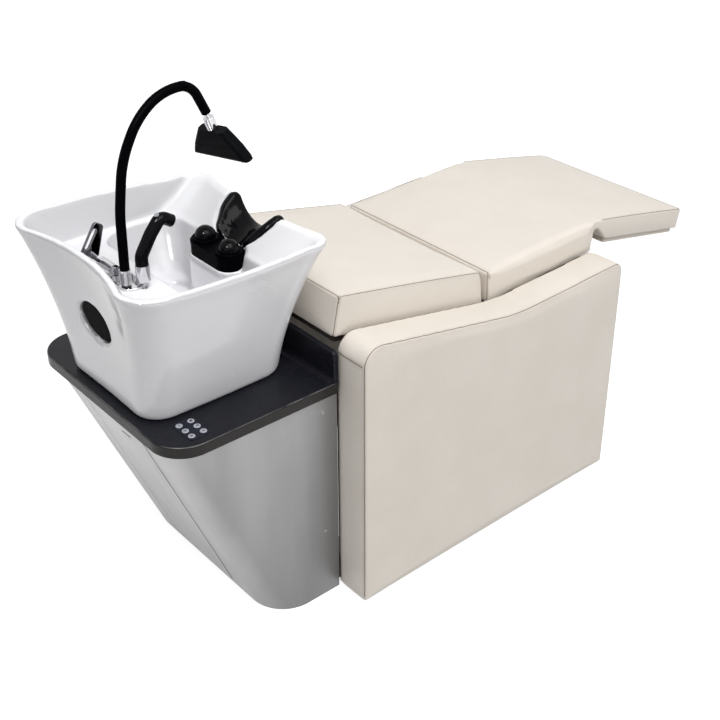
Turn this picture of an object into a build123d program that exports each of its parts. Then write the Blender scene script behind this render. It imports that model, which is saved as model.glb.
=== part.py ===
from build123d import *
import os
from math import cos, pi, radians, sin, sqrt, tan

# A hair washing bed: an upholstered lounge between two side panels, with a glazed basin on a
# steel cabinet at its head end.  Millimetres, +X towards the legs, +Y to the far side, +Z up.
# The sizes are laid out from the head-end face of the side panels (x = 0), the middle of the
# bed (y = 0) and the floor (z = 0).  The finished part is moved so that its origin lies under
# the middle of its outer box.

# Small clearances shared by all pieces
running_gap = 0.05
slack = 0.3
overrun = 20.0

# Side panels
overall_width = 800.0
panel_thickness = 111.0
panel_length = 935.0
panel_floor_gap = 3.0
panel_head_height = 763.0
panel_dip_height = 665.0
panel_dip_setback = 518.0
panel_foot_height = 680.0
panel_head_radius = 50.0
panel_dip_radius = 600.0
panel_foot_radius = 32.0
panel_bottom_radius = 8.0
panel_board_thickness = 18.0
panel_board_inset = 2.0
panel_crown_inset = 4.0
panel_edge_depth = 6.0

# Cushions
cushion_side_gap = 6.0
cushion_corner_radius = 9.0
cushion_crown = 5.0
cushion_draw_in = 7.0
cushion_edge_depth = 11.0
board_thickness = 15.0
board_inset = 14.0

seat_setback = 514.0
seat_height = 732.0
seat_length = 440.0
seat_thickness = 92.0
seat_slope = 2.5
seat_front_undercut = 18.0
seat_board_rear_inset = 14.0
seat_board_front_inset = 56.0

seam_gap = 16.0
seam_drop_rise = 13.0
back_length = 485.0
back_slope = 11.3
back_thickness = 108.0
back_mitre = 35.0
back_board_head_inset = 18.0
back_board_seat_inset = 14.0

knee_gap = 12.4
leg_length = 398.0
leg_slope = 11.5
leg_thickness = 66.0
leg_heel_height = 39.5
leg_heel_undercut = 24.0
leg_board_thickness = 12.0
leg_board_heel_inset = 12.0
leg_board_toe_inset = 20.0

# Hinges between the cushions
hinge_offset = 200.0
hinge_arm_thickness = 6.0
hinge_knuckle_radius = 6.5
hinge_pin_radius = 3.0
hinge_arm_gap = 0.5
hinge_pocket_gap = 1.5
hinge_pin_head = 1.0
hinge_pin_head_radius = 5.0
hinge_pin_end_gap = 0.2
back_hinge_drop = 16.0
back_hinge_set_in = 6.0
leg_hinge_drop = 24.2
leg_hinge_set_in = 5.4
hinge_arm_reach = 52.0
hinge_arm_foot = 24.0

# Lifting drives
drive_axis_height = 600.0
drive_offset = 45.0
drive_body_width = 40.0
drive_body_height = 30.0
drive_motor_radius = 19.0
drive_motor_length = 80.0
drive_gear_length = 26.0
drive_rod_radius = 9.0
drive_pin_radius = 5.0
drive_cheek_thickness = 6.0
drive_fork_length = 57.0
drive_fork_base = 5.0
drive_fork_height = 9.0
drive_rod_overlap = 40.0
drive_bore_spare = 3.0
back_drive_start = 215.0
back_drive_end = 410.0
back_pin_setback = 539.0
back_slot_reach = 114.0
back_slot_length = 8.0
back_lever_root = 40.0
leg_drive_start = 640.0
leg_drive_end = 826.0
leg_pin_setback = 996.6
leg_slot_reach = 125.0
leg_slot_length = 21.5
leg_lever_root = 62.0
leg_drive_stroke = 108.0
back_drive_stroke = 64.0
lever_thickness = 6.0
lever_slot_clearance = 4.5
lever_rim = 7.0
lever_gap = 1.5

# Steel frame
tube = 40.0
tube_wall = 2.0
tube_end_gap = 20.0
foot_pad_height = 12.0
foot_pad_radius = 20.0
foot_pad_edge = 3.0
rail_head_reach = 105.0
upper_rail_height = 545.0
post_head_setback = 40.0
post_foot_inset = 35.0
cross_back_setback = 270.0
cross_middle_setback = 660.0
cross_front_inset = 115.0
cross_front_setback = panel_length - cross_front_inset
seat_bracket_thickness = 8.0
seat_bracket_start = 560.0
seat_bracket_end = 890.0
control_box_length = 120.0
control_box_width = 120.0
control_box_height = 48.0
control_box_offset = 20.0
control_box_inset = 30.0
control_box_round = 5.0
inlet_length = 30.0
inlet_width = 22.0
inlet_depth = 14.0
inlet_socket_depth = 9.0
inlet_wall = 3.0

# Cabinet under the basin
cabinet_gap = 3.0
cabinet_side_inset = 98.0
cabinet_half_width = overall_width / 2 - cabinet_side_inset
cabinet_foot_reach = 203.0
cabinet_top_reach = 447.0
cabinet_floor_gap = 2.0
cabinet_foot_radius = 100.0
cabinet_top_radius = 80.0
cabinet_sheet = 2.0
back_board_thickness = 18.0
batten_depth = 30.0
batten_width = 30.0
screw_setback = 46.0
screw_low_height = 206.0
screw_high_height = 561.0
screw_head_radius = 4.5
screw_head_height = 2.2
screw_shank_radius = 2.2
screw_hole_radius = 2.6
side_strip_width = 92.0
screw_length = 22.0
service_half_width = 126.0
service_low_height = 30.0
service_top_height = 595.0
service_sheet = 1.2
service_overlap = 14.0
service_lip = 18.0
service_slot_height = 523.0
service_slot_width = 7.0
service_slot_near = 48.0
service_slot_far = 8.0
sheet_seam_offset = 141.0
sheet_seam_width = 2.2
sheet_seam_depth = 1.1

# Tray on the cabinet
tray_top_height = 632.0
tray_reach = 461.0
tray_side_inset = 90.0
tray_half_width = overall_width / 2 - tray_side_inset
tray_corner_radius = 85.0
tray_thickness = 29.0
tray_back_gap = 4.0
upstand_rise = 83.0
upstand_thickness = 12.0
upstand_fillet = 16.0
upstand_corner_radius = 12.0
upstand_edge_round = 3.0
tray_edge_round = 5.0
tray_hole_length = 210.0
tray_hole_width = 160.0
tray_hole_centre = 290.0

# Keypad
keypad_centre_x = 370.0
keypad_centre_y = 247.0
keypad_length = 55.0
keypad_width = 80.0
keypad_corner = 13.0
keypad_stand = 1.0
keypad_flange = 1.5
keypad_body_depth = 8.0
keypad_floor = 1.6
keypad_cover = 2.6
button_radius = 8.0
button_gap = 0.25
button_stand = 1.4
button_pitch_x = 30.5
button_pitch_y = 25.0
button_flange_radius = 8.9
button_flange_height = 1.6
button_edge_round = 0.8

# Basin
basin_foot_reach = 440.0
basin_foot_length = 384.0
basin_foot_half_width = 192.0
basin_foot_radius = 67.0
basin_foot_bow = 2.0
basin_foot_edge = 13.0
basin_height = 353.0
rim_fall_share = 0.036
rim_head_flare = 61.0
rim_bed_flare = 81.5
rim_head_hollow = 35.0
rim_bed_hollow = 23.5
rim_head_shoulder = 205.0
rim_bed_shoulder = 203.0
rim_head_turn = 72.0
rim_bed_turn = 65.0
rim_head_half_width = 290.0
rim_side_half_width = 293.0
rim_bed_half_width = 272.0
rim_bed_corner_fill = 6.0
head_flare_power = 1.83
bed_flare_power = 2.02
basin_wall = 14.0
basin_lip = 19.0
lip_round = 6.0
ledge_rise = 271.0
cavity_head_reach = 428.0
cavity_bed_reach = 98.0
cavity_half_width = 247.0
cavity_radius = 62.0
well_head_reach = 300.0
well_half_width = 232.0
well_depth = 133.0
well_floor_head_reach = 278.0
well_floor_bed_reach = 150.0
well_floor_half_width = 130.0
well_floor_radius = 45.0
well_edge_round = 14.0
well_bulge_share = 0.62
neck_dip_radius = 105.0
neck_dip_rise = 371.6
grip_hole_width = 131.0
grip_hole_height = 92.0
grip_hole_rise = 190.0
drain_reach = 215.0
drain_radius = 22.0
body_shares = [0, 0.1, 0.2, 0.3, 0.4, 0.5, 0.6, 0.7, 0.8, 0.9]
well_shares = [0, 0.1, 0.25, 0.45, 0.7, 1]

# Ball block and neck rest
block_reach = 114.0
block_radius = 36.0
block_half_spacing = 48.5
block_seat_drop = 29.0
block_height = 28.0
block_flange_height = 6.0
block_flange_radius = 37.0
block_pocket_gap = 0.6
ball_radius = 25.0
ball_rise = 43.0
ball_collar_radius = 33.0
ball_collar_height = 7.0
ball_collar_round = 2.0
ball_gap = 0.3
pedestal_wall = 5.0
neck_rest_stations = [14.0, 9.0, -5.0, -40.0, -71.0, -75.0]
neck_rest_wing_rises = [334.0, 341.0, 343.0, 323.0, 298.0, 292.0]
neck_rest_saddle_rises = [289.0, 294.0, 295.0, 284.0, 277.0, 272.0]
neck_rest_tip_width = 24.0
neck_rest_seat_gap = 0.3

# Tap, spray arm and hand shower
tap_reach = 367.0
tap_plate_radius = 29.0
tap_plate_half_spacing = 37.0
tap_plate_thickness = 6.0
tap_screw_radius = 3.6
tap_screw_shank = 1.6
tap_screw_height = 1.4
tap_screw_length = 14.0
tap_screw_outer = (21.0, 18.0)
tap_screw_inner = (-8.0, 34.0)
tap_plate_round = 2.0
mixer_radius = 14.0
mixer_reach = 377.0
mixer_start = 15.0
mixer_end = 58.0
arm_reach = 359.0
boss_radius = 14.0
boss_height = 8.0
collar_radius = 13.5
collar_height = 10.0
collar_spigot_radius = 6.0
collar_spigot_length = 6.0
hub_radius = 13.7
hub_length = 16.0
hub_axle_radius = 5.0
hub_axle_length = 9.0
hub_round = 5.0
lever_pin_radius = 2.0
lever_stem_radius = 5.0
lever_stem_length = 38.0
lever_stem_lean = 45.0
lever_blade_thickness = 9.0
lever_blade_outline = [(-53.0, 34.0), (-9.0, 105.0), (12.0, 92.0), (-9.0, 17.0)]
lever_blade_radius = 8.0
lever_blade_round = 2.5
lever_blade_slot = [(-34.0, 50.0), (-12.0, 84.0)]
lever_blade_slot_radius = 6.0
arm_radius = 11.2
arm_path = [(3.0, 157.0), (20.0, 274.0), (68.0, 364.0), (142.0, 413.0), (206.0, 405.0)]
arm_bend_radii = [420.0, 260.0, 180.0, 130.0, 52.0]
spray_joint_reach = 121.0
spray_joint_rise = 609.0
spray_ball_radius = 9.0
spray_lean = 19.5
spray_neck_radius = 4.5
spray_collar_start = 15.5
spray_collar_length = 30.0
spray_collar_radius = 13.0
collar_edge_round = 1.5
spray_socket_tip = 3.0
spray_pivot_radius = 6.0
spray_pivot_length = 9.0
head_widths = [78.0, 104.0, 136.0, 162.0, 170.0]
head_depths = [27.0, 30.0, 31.0, 29.0, 24.0]
head_drops = [0.0, 20.0, 44.0, 68.0, 74.0]
head_corner_radius = 10.0
head_twist = 13.6
holder_reach = 346.0
holder_offset = 57.0
holder_radius = 16.0
holder_bore_radius = 11.2
holder_low_gap = 15.0
holder_height = 39.0
holder_floor = 5.0
holder_bar_half_width = 6.0
holder_bar_height = 12.0
handset_plug_radius = 11.0
handset_radius = 14.6
handset_path = [(0.0, 325.3), (0.0, 345.0), (28.0, 390.0), (55.0, 423.0), (82.0, 406.0)]
handset_bend_radii = [30.0, 70.0, 16.5]
handset_face_radius = 12.0
handset_face_depth = 2.5
face_stand = 0.8
handset_button_place = (54.0, 417.0)
handset_button_lean = 30.0
handset_button_radius = 5.5
handset_button_start = 11.6
handset_button_end = 16.4
handset_button_travel = 1.2
hose_radius = 5.5
hose_hole_radius = 7.5
hose_length = 230.0
supply_hose_radius = 6.5
supply_hose_hole_radius = 8.0
supply_hose_path = [
    (367.0, 15.0, 270.7), (368.0, 16.0, 170.0), (350.0, 30.0, 68.0), (296.0, 55.0, -32.0),
    (226.0, 84.0, -132.0), (140.0, 98.0, -178.0), (82.0, 100.0, -230.0), (82.0, 100.0, -285.8),
]
supply_hose_radii = [160.0, 160.0, 200.0, 160.0, 200.0, 55.0]

# Waste and supply in the cabinet
strainer_radius = 30.0
strainer_thickness = 2.5
strainer_neck_radius = 21.5
strainer_neck_length = 24.0
strainer_hole_radius = 3.0
strainer_ring_radius = 12.0
strainer_hole_count = 8
waste_nut_radius = 30.0
waste_nut_height = 14.0
waste_nut_gap = 1.0
tail_radius = 19.0
trap_radius = 34.0
trap_top_height = 560.0
trap_bottom_height = 455.0
trap_outlet_height = 530.0
trap_round = 14.0
valve_reach = 82.0
valve_offset = 100.0
valve_height = 300.0
valve_body_height = 46.0
valve_radius = 12.0
valve_pipe_radius = 7.5
valve_plate_radius = 24.0
valve_plate_thickness = 4.0
valve_knob_radius = 13.0
valve_knob_length = 22.0

button_names = [
    "back_up_button", "back_down_button", "leg_up_button", "leg_down_button", "flat_button", "stop_button",
]

# Places worked out from the sizes above
inner_half = overall_width / 2 - panel_thickness
cushion_half = inner_half - cushion_side_gap
rail_outer = inner_half
rail_inner = inner_half - tube
far = Vector(0, 1, 0)
cabinet_top = tray_top_height - tray_thickness
ledge_height = tray_top_height + ledge_rise
block_seat_height = ledge_height - block_seat_drop


# Basic solids

def block(x0, x1, y0, y1, z0, z1):
    corner = (Align.MIN, Align.MIN, Align.MIN)
    return Pos(x0, y0, z0) * Box(x1 - x0, y1 - y0, z1 - z0, align=corner)


def round_bar(start, end, radius):
    start = Vector(*start)
    run = Vector(*end) - start
    plane = Plane(origin=start, z_dir=run)
    return extrude(plane * Circle(radius), amount=run.length)


def post(x, y, z0, z1, radius):
    return round_bar((x, y, z0), (x, y, z1), radius)


def side_plate(points, y0, y1):
    outline = Polyline(*[(x, y0, z) for x, z in points], close=True)
    return extrude(make_face(outline), amount=y1 - y0, dir=far)


def flat_plate(points, z0, z1):
    outline = Polyline(*[(x, y, z0) for x, y in points], close=True)
    return extrude(make_face(outline), amount=z1 - z0, dir=(0, 0, 1))


def slot_prism(x, half_spacing, radius, z0, z1):
    body = block(x - radius, x + radius, -half_spacing, half_spacing, z0, z1)
    for y in (-half_spacing, half_spacing):
        body += round_bar((x, y, z0), (x, y, z1), radius)
    return body


def mirrored(shape):
    return mirror(shape, about=Plane.XZ)


def group(shapes):
    solids = []
    for shape in shapes:
        solids += list(shape.solids())
    return Compound(children=solids)


# Points of the three cushions seen from the side

def along(point, angle, run, rise):
    x, z = point
    dx = run * cos(radians(angle)) - rise * sin(radians(angle))
    dz = run * sin(radians(angle)) + rise * cos(radians(angle))
    return (x + dx, z + dz)


seat_top_rear = (seat_setback, seat_height)
seat_top_front = along(seat_top_rear, seat_slope, seat_length, 0)
seat_low_front = along(seat_top_rear, seat_slope, seat_length - seat_front_undercut, -seat_thickness)
seat_low_rear = along(seat_top_rear, seat_slope, 0, -seat_thickness)
seat_profile = [seat_top_rear, seat_top_front, seat_low_front, seat_low_rear]

back_top_seat = (seat_setback - seam_gap, seat_height + seam_drop_rise)
back_top_head = along(back_top_seat, -back_slope, -back_length, 0)
back_low_head = along(back_top_head, -back_slope, 0, -back_thickness)
back_low_seat = along(back_top_seat, -back_slope, back_mitre, -back_thickness)
back_profile = [back_top_head, back_top_seat, back_low_seat, back_low_head]

leg_top_heel = (seat_top_front[0] + knee_gap, seat_top_front[1])
leg_top_toe = along(leg_top_heel, -leg_slope, leg_length, 0)
leg_low_toe = along(leg_top_heel, -leg_slope, leg_length, -leg_thickness)
leg_heel = (leg_top_heel[0], leg_top_heel[1] - leg_heel_height)
leg_heel_run = leg_thickness * tan(radians(leg_slope)) + leg_heel_undercut
leg_low_heel = along(leg_top_heel, -leg_slope, leg_heel_run, -leg_thickness)
leg_profile = [leg_top_heel, leg_top_toe, leg_low_toe, leg_low_heel, leg_heel]

back_pivot = (seat_setback - back_hinge_set_in, seat_height - back_hinge_drop)
leg_pivot = (seat_top_front[0] + leg_hinge_set_in, seat_top_front[1] - leg_hinge_drop)


# Soft pieces

def rounded_profile(points, y, inset, crown):
    # Side outline of a cushion at one place across its width, its top edge bowed up by the crown.
    centre_x = sum(x for x, z in points) / len(points)
    centre_z = sum(z for x, z in points) / len(points)
    drawn = []
    for x, z in points:
        reach = sqrt((x - centre_x) ** 2 + (z - centre_z) ** 2)
        share = 1 - inset * sqrt(2) / reach
        drawn.append((centre_x + (x - centre_x) * share, centre_z + (z - centre_z) * share))
    edges = []
    count = len(drawn)
    for k in range(count):
        start = cut_corner(drawn[k], drawn[(k + 1) % count])
        end = cut_corner(drawn[(k + 1) % count], drawn[k])
        nxt = cut_corner(drawn[(k + 1) % count], drawn[(k + 2) % count])
        if k == 0:
            middle = ((start[0] + end[0]) / 2, (start[1] + end[1]) / 2 + crown)
            edges.append(ThreePointArc(at(start, y), at(middle, y), at(end, y)))
        else:
            edges.append(Line(at(start, y), at(end, y)))
        corner = drawn[(k + 1) % count]
        bend_x = (start_mean(end, nxt)[0] + corner[0]) / 2
        bend_z = (start_mean(end, nxt)[1] + corner[1]) / 2
        edges.append(ThreePointArc(at(end, y), (bend_x, y, bend_z), at(nxt, y)))
    return make_face(Wire(edges))


def at(point, y):
    return (point[0], y, point[1])


def start_mean(a, b):
    return ((a[0] + b[0]) / 2, (a[1] + b[1]) / 2)


def cut_corner(corner, toward):
    run = sqrt((toward[0] - corner[0]) ** 2 + (toward[1] - corner[1]) ** 2)
    share = cushion_corner_radius / run
    return (corner[0] + (toward[0] - corner[0]) * share, corner[1] + (toward[1] - corner[1]) * share)


def cushion(points, half_width):
    # The outline shrinks towards the two side seams and the top is highest in the middle.
    quarter = (half_width - cushion_edge_depth) / 2
    stations = [
        (half_width, cushion_draw_in, 0.2),
        (half_width - cushion_edge_depth / 3, cushion_draw_in / 3, 0.3),
        (half_width - cushion_edge_depth, 0, 0.4),
        (quarter, 0, 0.85),
        (0, 0, 1),
    ]
    sides = [(-y, inset, share) for y, inset, share in stations] + [
        (y, inset, share) for y, inset, share in reversed(stations[:-1])
    ]
    faces = [rounded_profile(points, y, inset, cushion_crown * share) for y, inset, share in sides]
    return loft(faces, ruled=True)


fixed_arm_start = hinge_offset
moving_arm_start = hinge_offset + hinge_arm_thickness + hinge_arm_gap


def panel_face(y, inset):
    # Upholstered side panel seen from the side: its top edge follows the cushions.
    fall = (panel_head_height - panel_dip_height) / panel_dip_setback
    left = inset
    right = panel_length - inset
    low = panel_floor_gap + inset
    points = [
        (left, y, low),
        (left, y, panel_head_height - inset),
        (panel_dip_setback, y, panel_dip_height - inset),
        (right, y, panel_foot_height - inset),
        (right, y, low),
    ]
    dip_radius = panel_dip_radius + fall * inset
    radii = [panel_head_radius, dip_radius, panel_foot_radius]
    start = (left + panel_bottom_radius, y, low)
    end = (right - panel_bottom_radius, y, low)
    route = [start] + points + [end]
    radii = [panel_bottom_radius / 2] + radii + [panel_bottom_radius / 2]
    top = FilletPolyline(*route, radius=radii)
    return make_face(Wire(list(top.edges()) + [Line(end, start)]))


def make_panel(side):
    inner = inner_half + panel_board_thickness
    outer = overall_width / 2
    stations = [
        (inner, panel_crown_inset),
        (inner + panel_edge_depth / 3, panel_crown_inset / 4),
        (inner + panel_edge_depth, 0),
        (outer - panel_edge_depth, 0),
        (outer - panel_edge_depth / 3, panel_crown_inset / 4),
        (outer, panel_crown_inset),
    ]
    faces = [panel_face(side * y, inset) for y, inset in stations]
    return loft(faces, ruled=True)


def make_panel_boards():
    faces = [panel_face(side * inner_half, panel_board_inset) for side in (-1, 1)]
    boards = []
    for side, face in zip((-1, 1), faces):
        board = extrude(face, amount=panel_board_thickness, dir=(0, side, 0))
        boards.append(board)
    return group(boards)


# Boards and hinges

def cushion_board(origin, slope, thickness, depth, start, end):
    points = [
        along(origin, slope, start, -thickness - running_gap),
        along(origin, slope, end, -thickness - running_gap),
        along(origin, slope, end, -thickness - depth),
        along(origin, slope, start, -thickness - depth),
    ]
    half = cushion_half - board_inset
    return side_plate(points, -half, half)


def make_seat_board():
    end = seat_length - seat_board_front_inset
    start = seat_board_rear_inset
    return cushion_board(seat_top_rear, seat_slope, seat_thickness, board_thickness, start, end)


def make_back_board():
    start = back_board_head_inset - back_length
    end = back_mitre - back_board_seat_inset
    return cushion_board(back_top_seat, -back_slope, back_thickness, board_thickness, start, end)


leg_board_start = leg_thickness * tan(radians(leg_slope)) + leg_heel_undercut + leg_board_heel_inset


def make_leg_board():
    end = leg_length - leg_board_toe_inset
    return cushion_board(leg_top_heel, -leg_slope, leg_thickness, leg_board_thickness, leg_board_start, end)


def depth_under(point, origin, slope):
    dx = point[0] - origin[0]
    dz = point[1] - origin[1]
    return dx * sin(radians(slope)) - dz * cos(radians(slope))


def hinge_arm(pivot, slope, foot_depth, toward, start, bore):
    # A flat steel arm from a hinge knuckle into the cushion, with a foot down on its board.
    r = hinge_knuckle_radius
    end = hinge_arm_reach + hinge_arm_foot
    foot = [(end, -foot_depth), (hinge_arm_reach, -foot_depth)]
    local = [(0, r), (end, r)] + foot + [(hinge_arm_reach, -r), (0, -r)]
    points = [along(pivot, slope, toward * run, rise) for run, rise in local]
    arm = side_plate(points, start, start + hinge_arm_thickness)
    centre = (pivot[0], start, pivot[1])
    tip = (pivot[0], start + hinge_arm_thickness, pivot[1])
    arm += round_bar(centre, tip, r)
    bore_start = (pivot[0], start - overrun, pivot[1])
    bore_end = (pivot[0], start + overrun, pivot[1])
    return arm - round_bar(bore_start, bore_end, bore)


def hinge_pocket(pivot, slope, foot_depth, toward, start, both):
    # Room in the foam for an arm, and beside its knuckle for the other arm of the same hinge.
    top = hinge_knuckle_radius + hinge_pocket_gap
    low = -foot_depth - overrun
    end = hinge_arm_reach + hinge_arm_foot + hinge_pocket_gap
    local = [(-overrun, top), (end, top), (end, low), (-overrun, low)]
    points = [along(pivot, slope, toward * run, rise) for run, rise in local]
    room = side_plate(points, start - hinge_pocket_gap, start + hinge_arm_thickness + hinge_pocket_gap)
    local = [(-overrun, top), (top, top), (top, low), (-overrun, low)]
    points = [along(pivot, slope, toward * run, rise) for run, rise in local]
    return room + side_plate(points, both[0], both[1])


pair_room = (fixed_arm_start - hinge_pocket_gap, moving_arm_start + hinge_arm_thickness + hinge_pocket_gap)
fixed_bore = hinge_pin_radius
moving_bore = hinge_pin_radius + running_gap
seat_foot_at_back = seat_thickness - depth_under(back_pivot, seat_top_rear, seat_slope)
seat_foot_at_leg = seat_thickness - depth_under(leg_pivot, seat_top_rear, seat_slope)
back_foot = back_thickness - depth_under(back_pivot, back_top_seat, -back_slope)
leg_foot = leg_thickness - depth_under(leg_pivot, leg_top_heel, -leg_slope)

seat_at_back_hinge = (back_pivot, seat_slope, seat_foot_at_back, 1, fixed_arm_start)
seat_at_leg_hinge = (leg_pivot, seat_slope, seat_foot_at_leg, -1, fixed_arm_start)
back_at_hinge = (back_pivot, -back_slope, back_foot, -1, moving_arm_start)
leg_at_hinge = (leg_pivot, -leg_slope, leg_foot, 1, moving_arm_start)


def with_hinge_pockets(body, hinges):
    for hinge in hinges:
        room = hinge_pocket(*hinge, pair_room)
        body -= room
        body -= mirrored(room)
    return body


def make_seat_cushion():
    return with_hinge_pockets(cushion(seat_profile, cushion_half), [seat_at_back_hinge, seat_at_leg_hinge])


def make_back_cushion():
    return with_hinge_pockets(cushion(back_profile, cushion_half), [back_at_hinge])


def make_leg_cushion():
    return with_hinge_pockets(cushion(leg_profile, cushion_half), [leg_at_hinge])


def make_fixed_hinge_arms():
    arms = []
    for hinge in (seat_at_back_hinge, seat_at_leg_hinge):
        arm = hinge_arm(*hinge, fixed_bore)
        arms += [arm, mirrored(arm)]
    return group(arms)


def make_hinge_pins():
    pins = []
    low = fixed_arm_start - hinge_pin_head
    high = moving_arm_start + hinge_arm_thickness + hinge_pin_end_gap
    for x, z in (back_pivot, leg_pivot):
        pin = round_bar((x, low, z), (x, high, z), hinge_pin_radius)
        pin += round_bar((x, low, z), (x, fixed_arm_start, z), hinge_pin_head_radius)
        pin += round_bar((x, high, z), (x, high + hinge_pin_head, z), hinge_pin_head_radius)
        pins += [pin, mirrored(pin)]
    return group(pins)


# Lifting drives

def lever_plate(pivot, pin, slot_start, slot_length, root, y):
    # A plate hanging from a moving board, with a long slot that takes the drive's pin.
    dx = pin[0] - pivot[0]
    dz = pin[1] - pivot[1]
    reach = sqrt(dx ** 2 + dz ** 2)
    ux = dx / reach
    uz = dz / reach
    inner = drive_pin_radius + lever_slot_clearance
    outer = inner + lever_rim
    first = (pivot[0] + ux * slot_start, pivot[1] + uz * slot_start)
    last = (first[0] + ux * slot_length, first[1] + uz * slot_length)
    right = (-uz * outer, ux * outer)
    y0 = y - lever_thickness / 2
    y1 = y + lever_thickness / 2
    rim = [
        (first[0] + right[0], first[1] + right[1]),
        (last[0] + right[0], last[1] + right[1]),
        (last[0] - right[0], last[1] - right[1]),
        (first[0] - right[0], first[1] - right[1]),
    ]
    if root[0][0] < first[0] - outer:
        web = [root[0], root[1], rim[0], rim[3], rim[2]]
    else:
        web = [root[0], root[1], rim[1], rim[3]]
    plate = side_plate(rim, y0, y1) + side_plate(web, y0, y1)
    for x, z in (first, last):
        plate += round_bar((x, y0, z), (x, y1, z), outer)
    share = inner / outer
    slot = [
        (first[0] + right[0] * share, first[1] + right[1] * share),
        (last[0] + right[0] * share, last[1] + right[1] * share),
        (last[0] - right[0] * share, last[1] - right[1] * share),
        (first[0] - right[0] * share, first[1] - right[1] * share),
    ]
    plate -= side_plate(slot, y0 - overrun, y1 + overrun)
    for x, z in (first, last):
        plate -= round_bar((x, y0 - overrun, z), (x, y1 + overrun, z), inner)
    return plate


back_pin = (back_pin_setback, drive_axis_height)
leg_pin = (leg_pin_setback, drive_axis_height)


def make_back_brackets():
    low = -back_thickness - board_thickness
    end = back_mitre - back_board_seat_inset
    root = [along(back_top_seat, -back_slope, run, low) for run in (end - back_lever_root, end)]
    arm = hinge_arm(*back_at_hinge, moving_bore)
    plate = lever_plate(back_pivot, back_pin, back_slot_reach, back_slot_length, root, -drive_offset)
    return group([arm, mirrored(arm), plate])


def make_leg_brackets():
    low = -leg_thickness - leg_board_thickness
    start = leg_board_start
    root = [along(leg_top_heel, -leg_slope, run, low) for run in (start, start + leg_lever_root)]
    arm = hinge_arm(*leg_at_hinge, moving_bore)
    plate = lever_plate(leg_pivot, leg_pin, leg_slot_reach, leg_slot_length, root, drive_offset)
    return group([arm, mirrored(arm), plate])


def drive_body(start, end, stroke, side):
    y = side * drive_offset
    half = drive_body_width / 2
    low = upper_rail_height + tube
    body = block(start, end, y - half, y + half, low, low + drive_body_height)
    motor_y = y + side * (half + drive_motor_radius)
    motor_z = low + drive_motor_radius
    gear_y = y + side * (half + 2 * drive_motor_radius)
    gear_end = start + drive_gear_length
    gear_top = low + 2 * drive_motor_radius
    body += block(start, gear_end, min(y, gear_y), max(y, gear_y), low, gear_top)
    motor_start = (start + drive_gear_length, motor_y, motor_z)
    motor_end = (start + drive_gear_length + drive_motor_length, motor_y, motor_z)
    body += round_bar(motor_start, motor_end, drive_motor_radius)
    bore_start = (end - drive_rod_overlap - stroke - drive_bore_spare, y, drive_axis_height)
    return body - round_bar(bore_start, (end + overrun, y, drive_axis_height), drive_rod_radius + running_gap)


def drive_rod(body_end, pin_setback, side):
    y = side * drive_offset
    z = drive_axis_height
    base = pin_setback - drive_fork_length
    rod = round_bar((body_end - drive_rod_overlap, y, z), (base, y, z), drive_rod_radius)
    inner = lever_thickness / 2 + lever_gap
    outer = inner + drive_cheek_thickness
    half = drive_fork_height
    tip = pin_setback
    fork = block(base - drive_fork_base, tip, y - outer, y + outer, z - half, z + half)
    fork += round_bar((tip, y - outer, z), (tip, y + outer, z), half)
    fork -= block(base, tip + overrun, y - inner, y + inner, z - overrun, z + overrun)
    pin = round_bar((tip, y - outer, z), (tip, y + outer, z), drive_pin_radius)
    return rod + fork + pin


def make_back_actuator_body():
    return drive_body(back_drive_start, back_drive_end, back_drive_stroke, -1)


def make_leg_actuator_body():
    return drive_body(leg_drive_start, leg_drive_end, leg_drive_stroke, 1)


def make_back_actuator_rod():
    return drive_rod(back_drive_end, back_pin_setback, -1)


def make_leg_actuator_rod():
    return drive_rod(leg_drive_end, leg_pin_setback, 1)


# Steel frame

def tube_bar(x0, x1, y0, y1, z0, z1, axis):
    walls = [tube_wall, tube_wall, tube_wall]
    walls[axis] = -overrun
    outer = block(x0, x1, y0, y1, z0, z1)
    inner = block(
        x0 + walls[0], x1 - walls[0], y0 + walls[1], y1 - walls[1], z0 + walls[2], z1 - walls[2]
    )
    return outer - inner


def both_sides(shape):
    return [shape, mirrored(shape)]


post_foot_setback = panel_length - post_foot_inset - tube
rail_end = panel_length - tube_end_gap
low_rail_top = foot_pad_height + tube
upper_rail_top = upper_rail_height + tube


def make_base_rails():
    rail = tube_bar(-rail_head_reach, rail_end, rail_inner, rail_outer, foot_pad_height, low_rail_top, 0)
    return group(both_sides(rail))


def make_upper_rails():
    rail = tube_bar(-cabinet_gap, rail_end, rail_inner, rail_outer, upper_rail_height, upper_rail_top, 0)
    under = -seat_thickness - board_thickness
    run_start = seat_bracket_start - seat_setback
    run_end = seat_bracket_end - seat_setback
    points = [
        (along(seat_top_rear, seat_slope, run_start, under)[0], upper_rail_top),
        along(seat_top_rear, seat_slope, run_start, under),
        along(seat_top_rear, seat_slope, run_end, under),
        (along(seat_top_rear, seat_slope, run_end, under)[0], upper_rail_top),
    ]
    rail += side_plate(points, rail_inner, rail_inner + seat_bracket_thickness)
    return group(both_sides(rail))


def make_frame_posts():
    posts = []
    for x in (post_head_setback, post_foot_setback):
        posts += both_sides(tube_bar(x, x + tube, rail_inner, rail_outer, low_rail_top, upper_rail_height, 2))
    return group(posts)


def make_lower_cross_tubes():
    tubes = []
    for x in (post_head_setback, post_foot_setback):
        tubes.append(tube_bar(x, x + tube, -rail_inner, rail_inner, foot_pad_height, low_rail_top, 1))
    return group(tubes)


def make_upper_cross_tubes():
    tubes = []
    for x in (cross_back_setback, cross_middle_setback, cross_front_setback):
        tubes.append(tube_bar(x, x + tube, -rail_inner, rail_inner, upper_rail_height, upper_rail_top, 1))
    return group(tubes)


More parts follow.
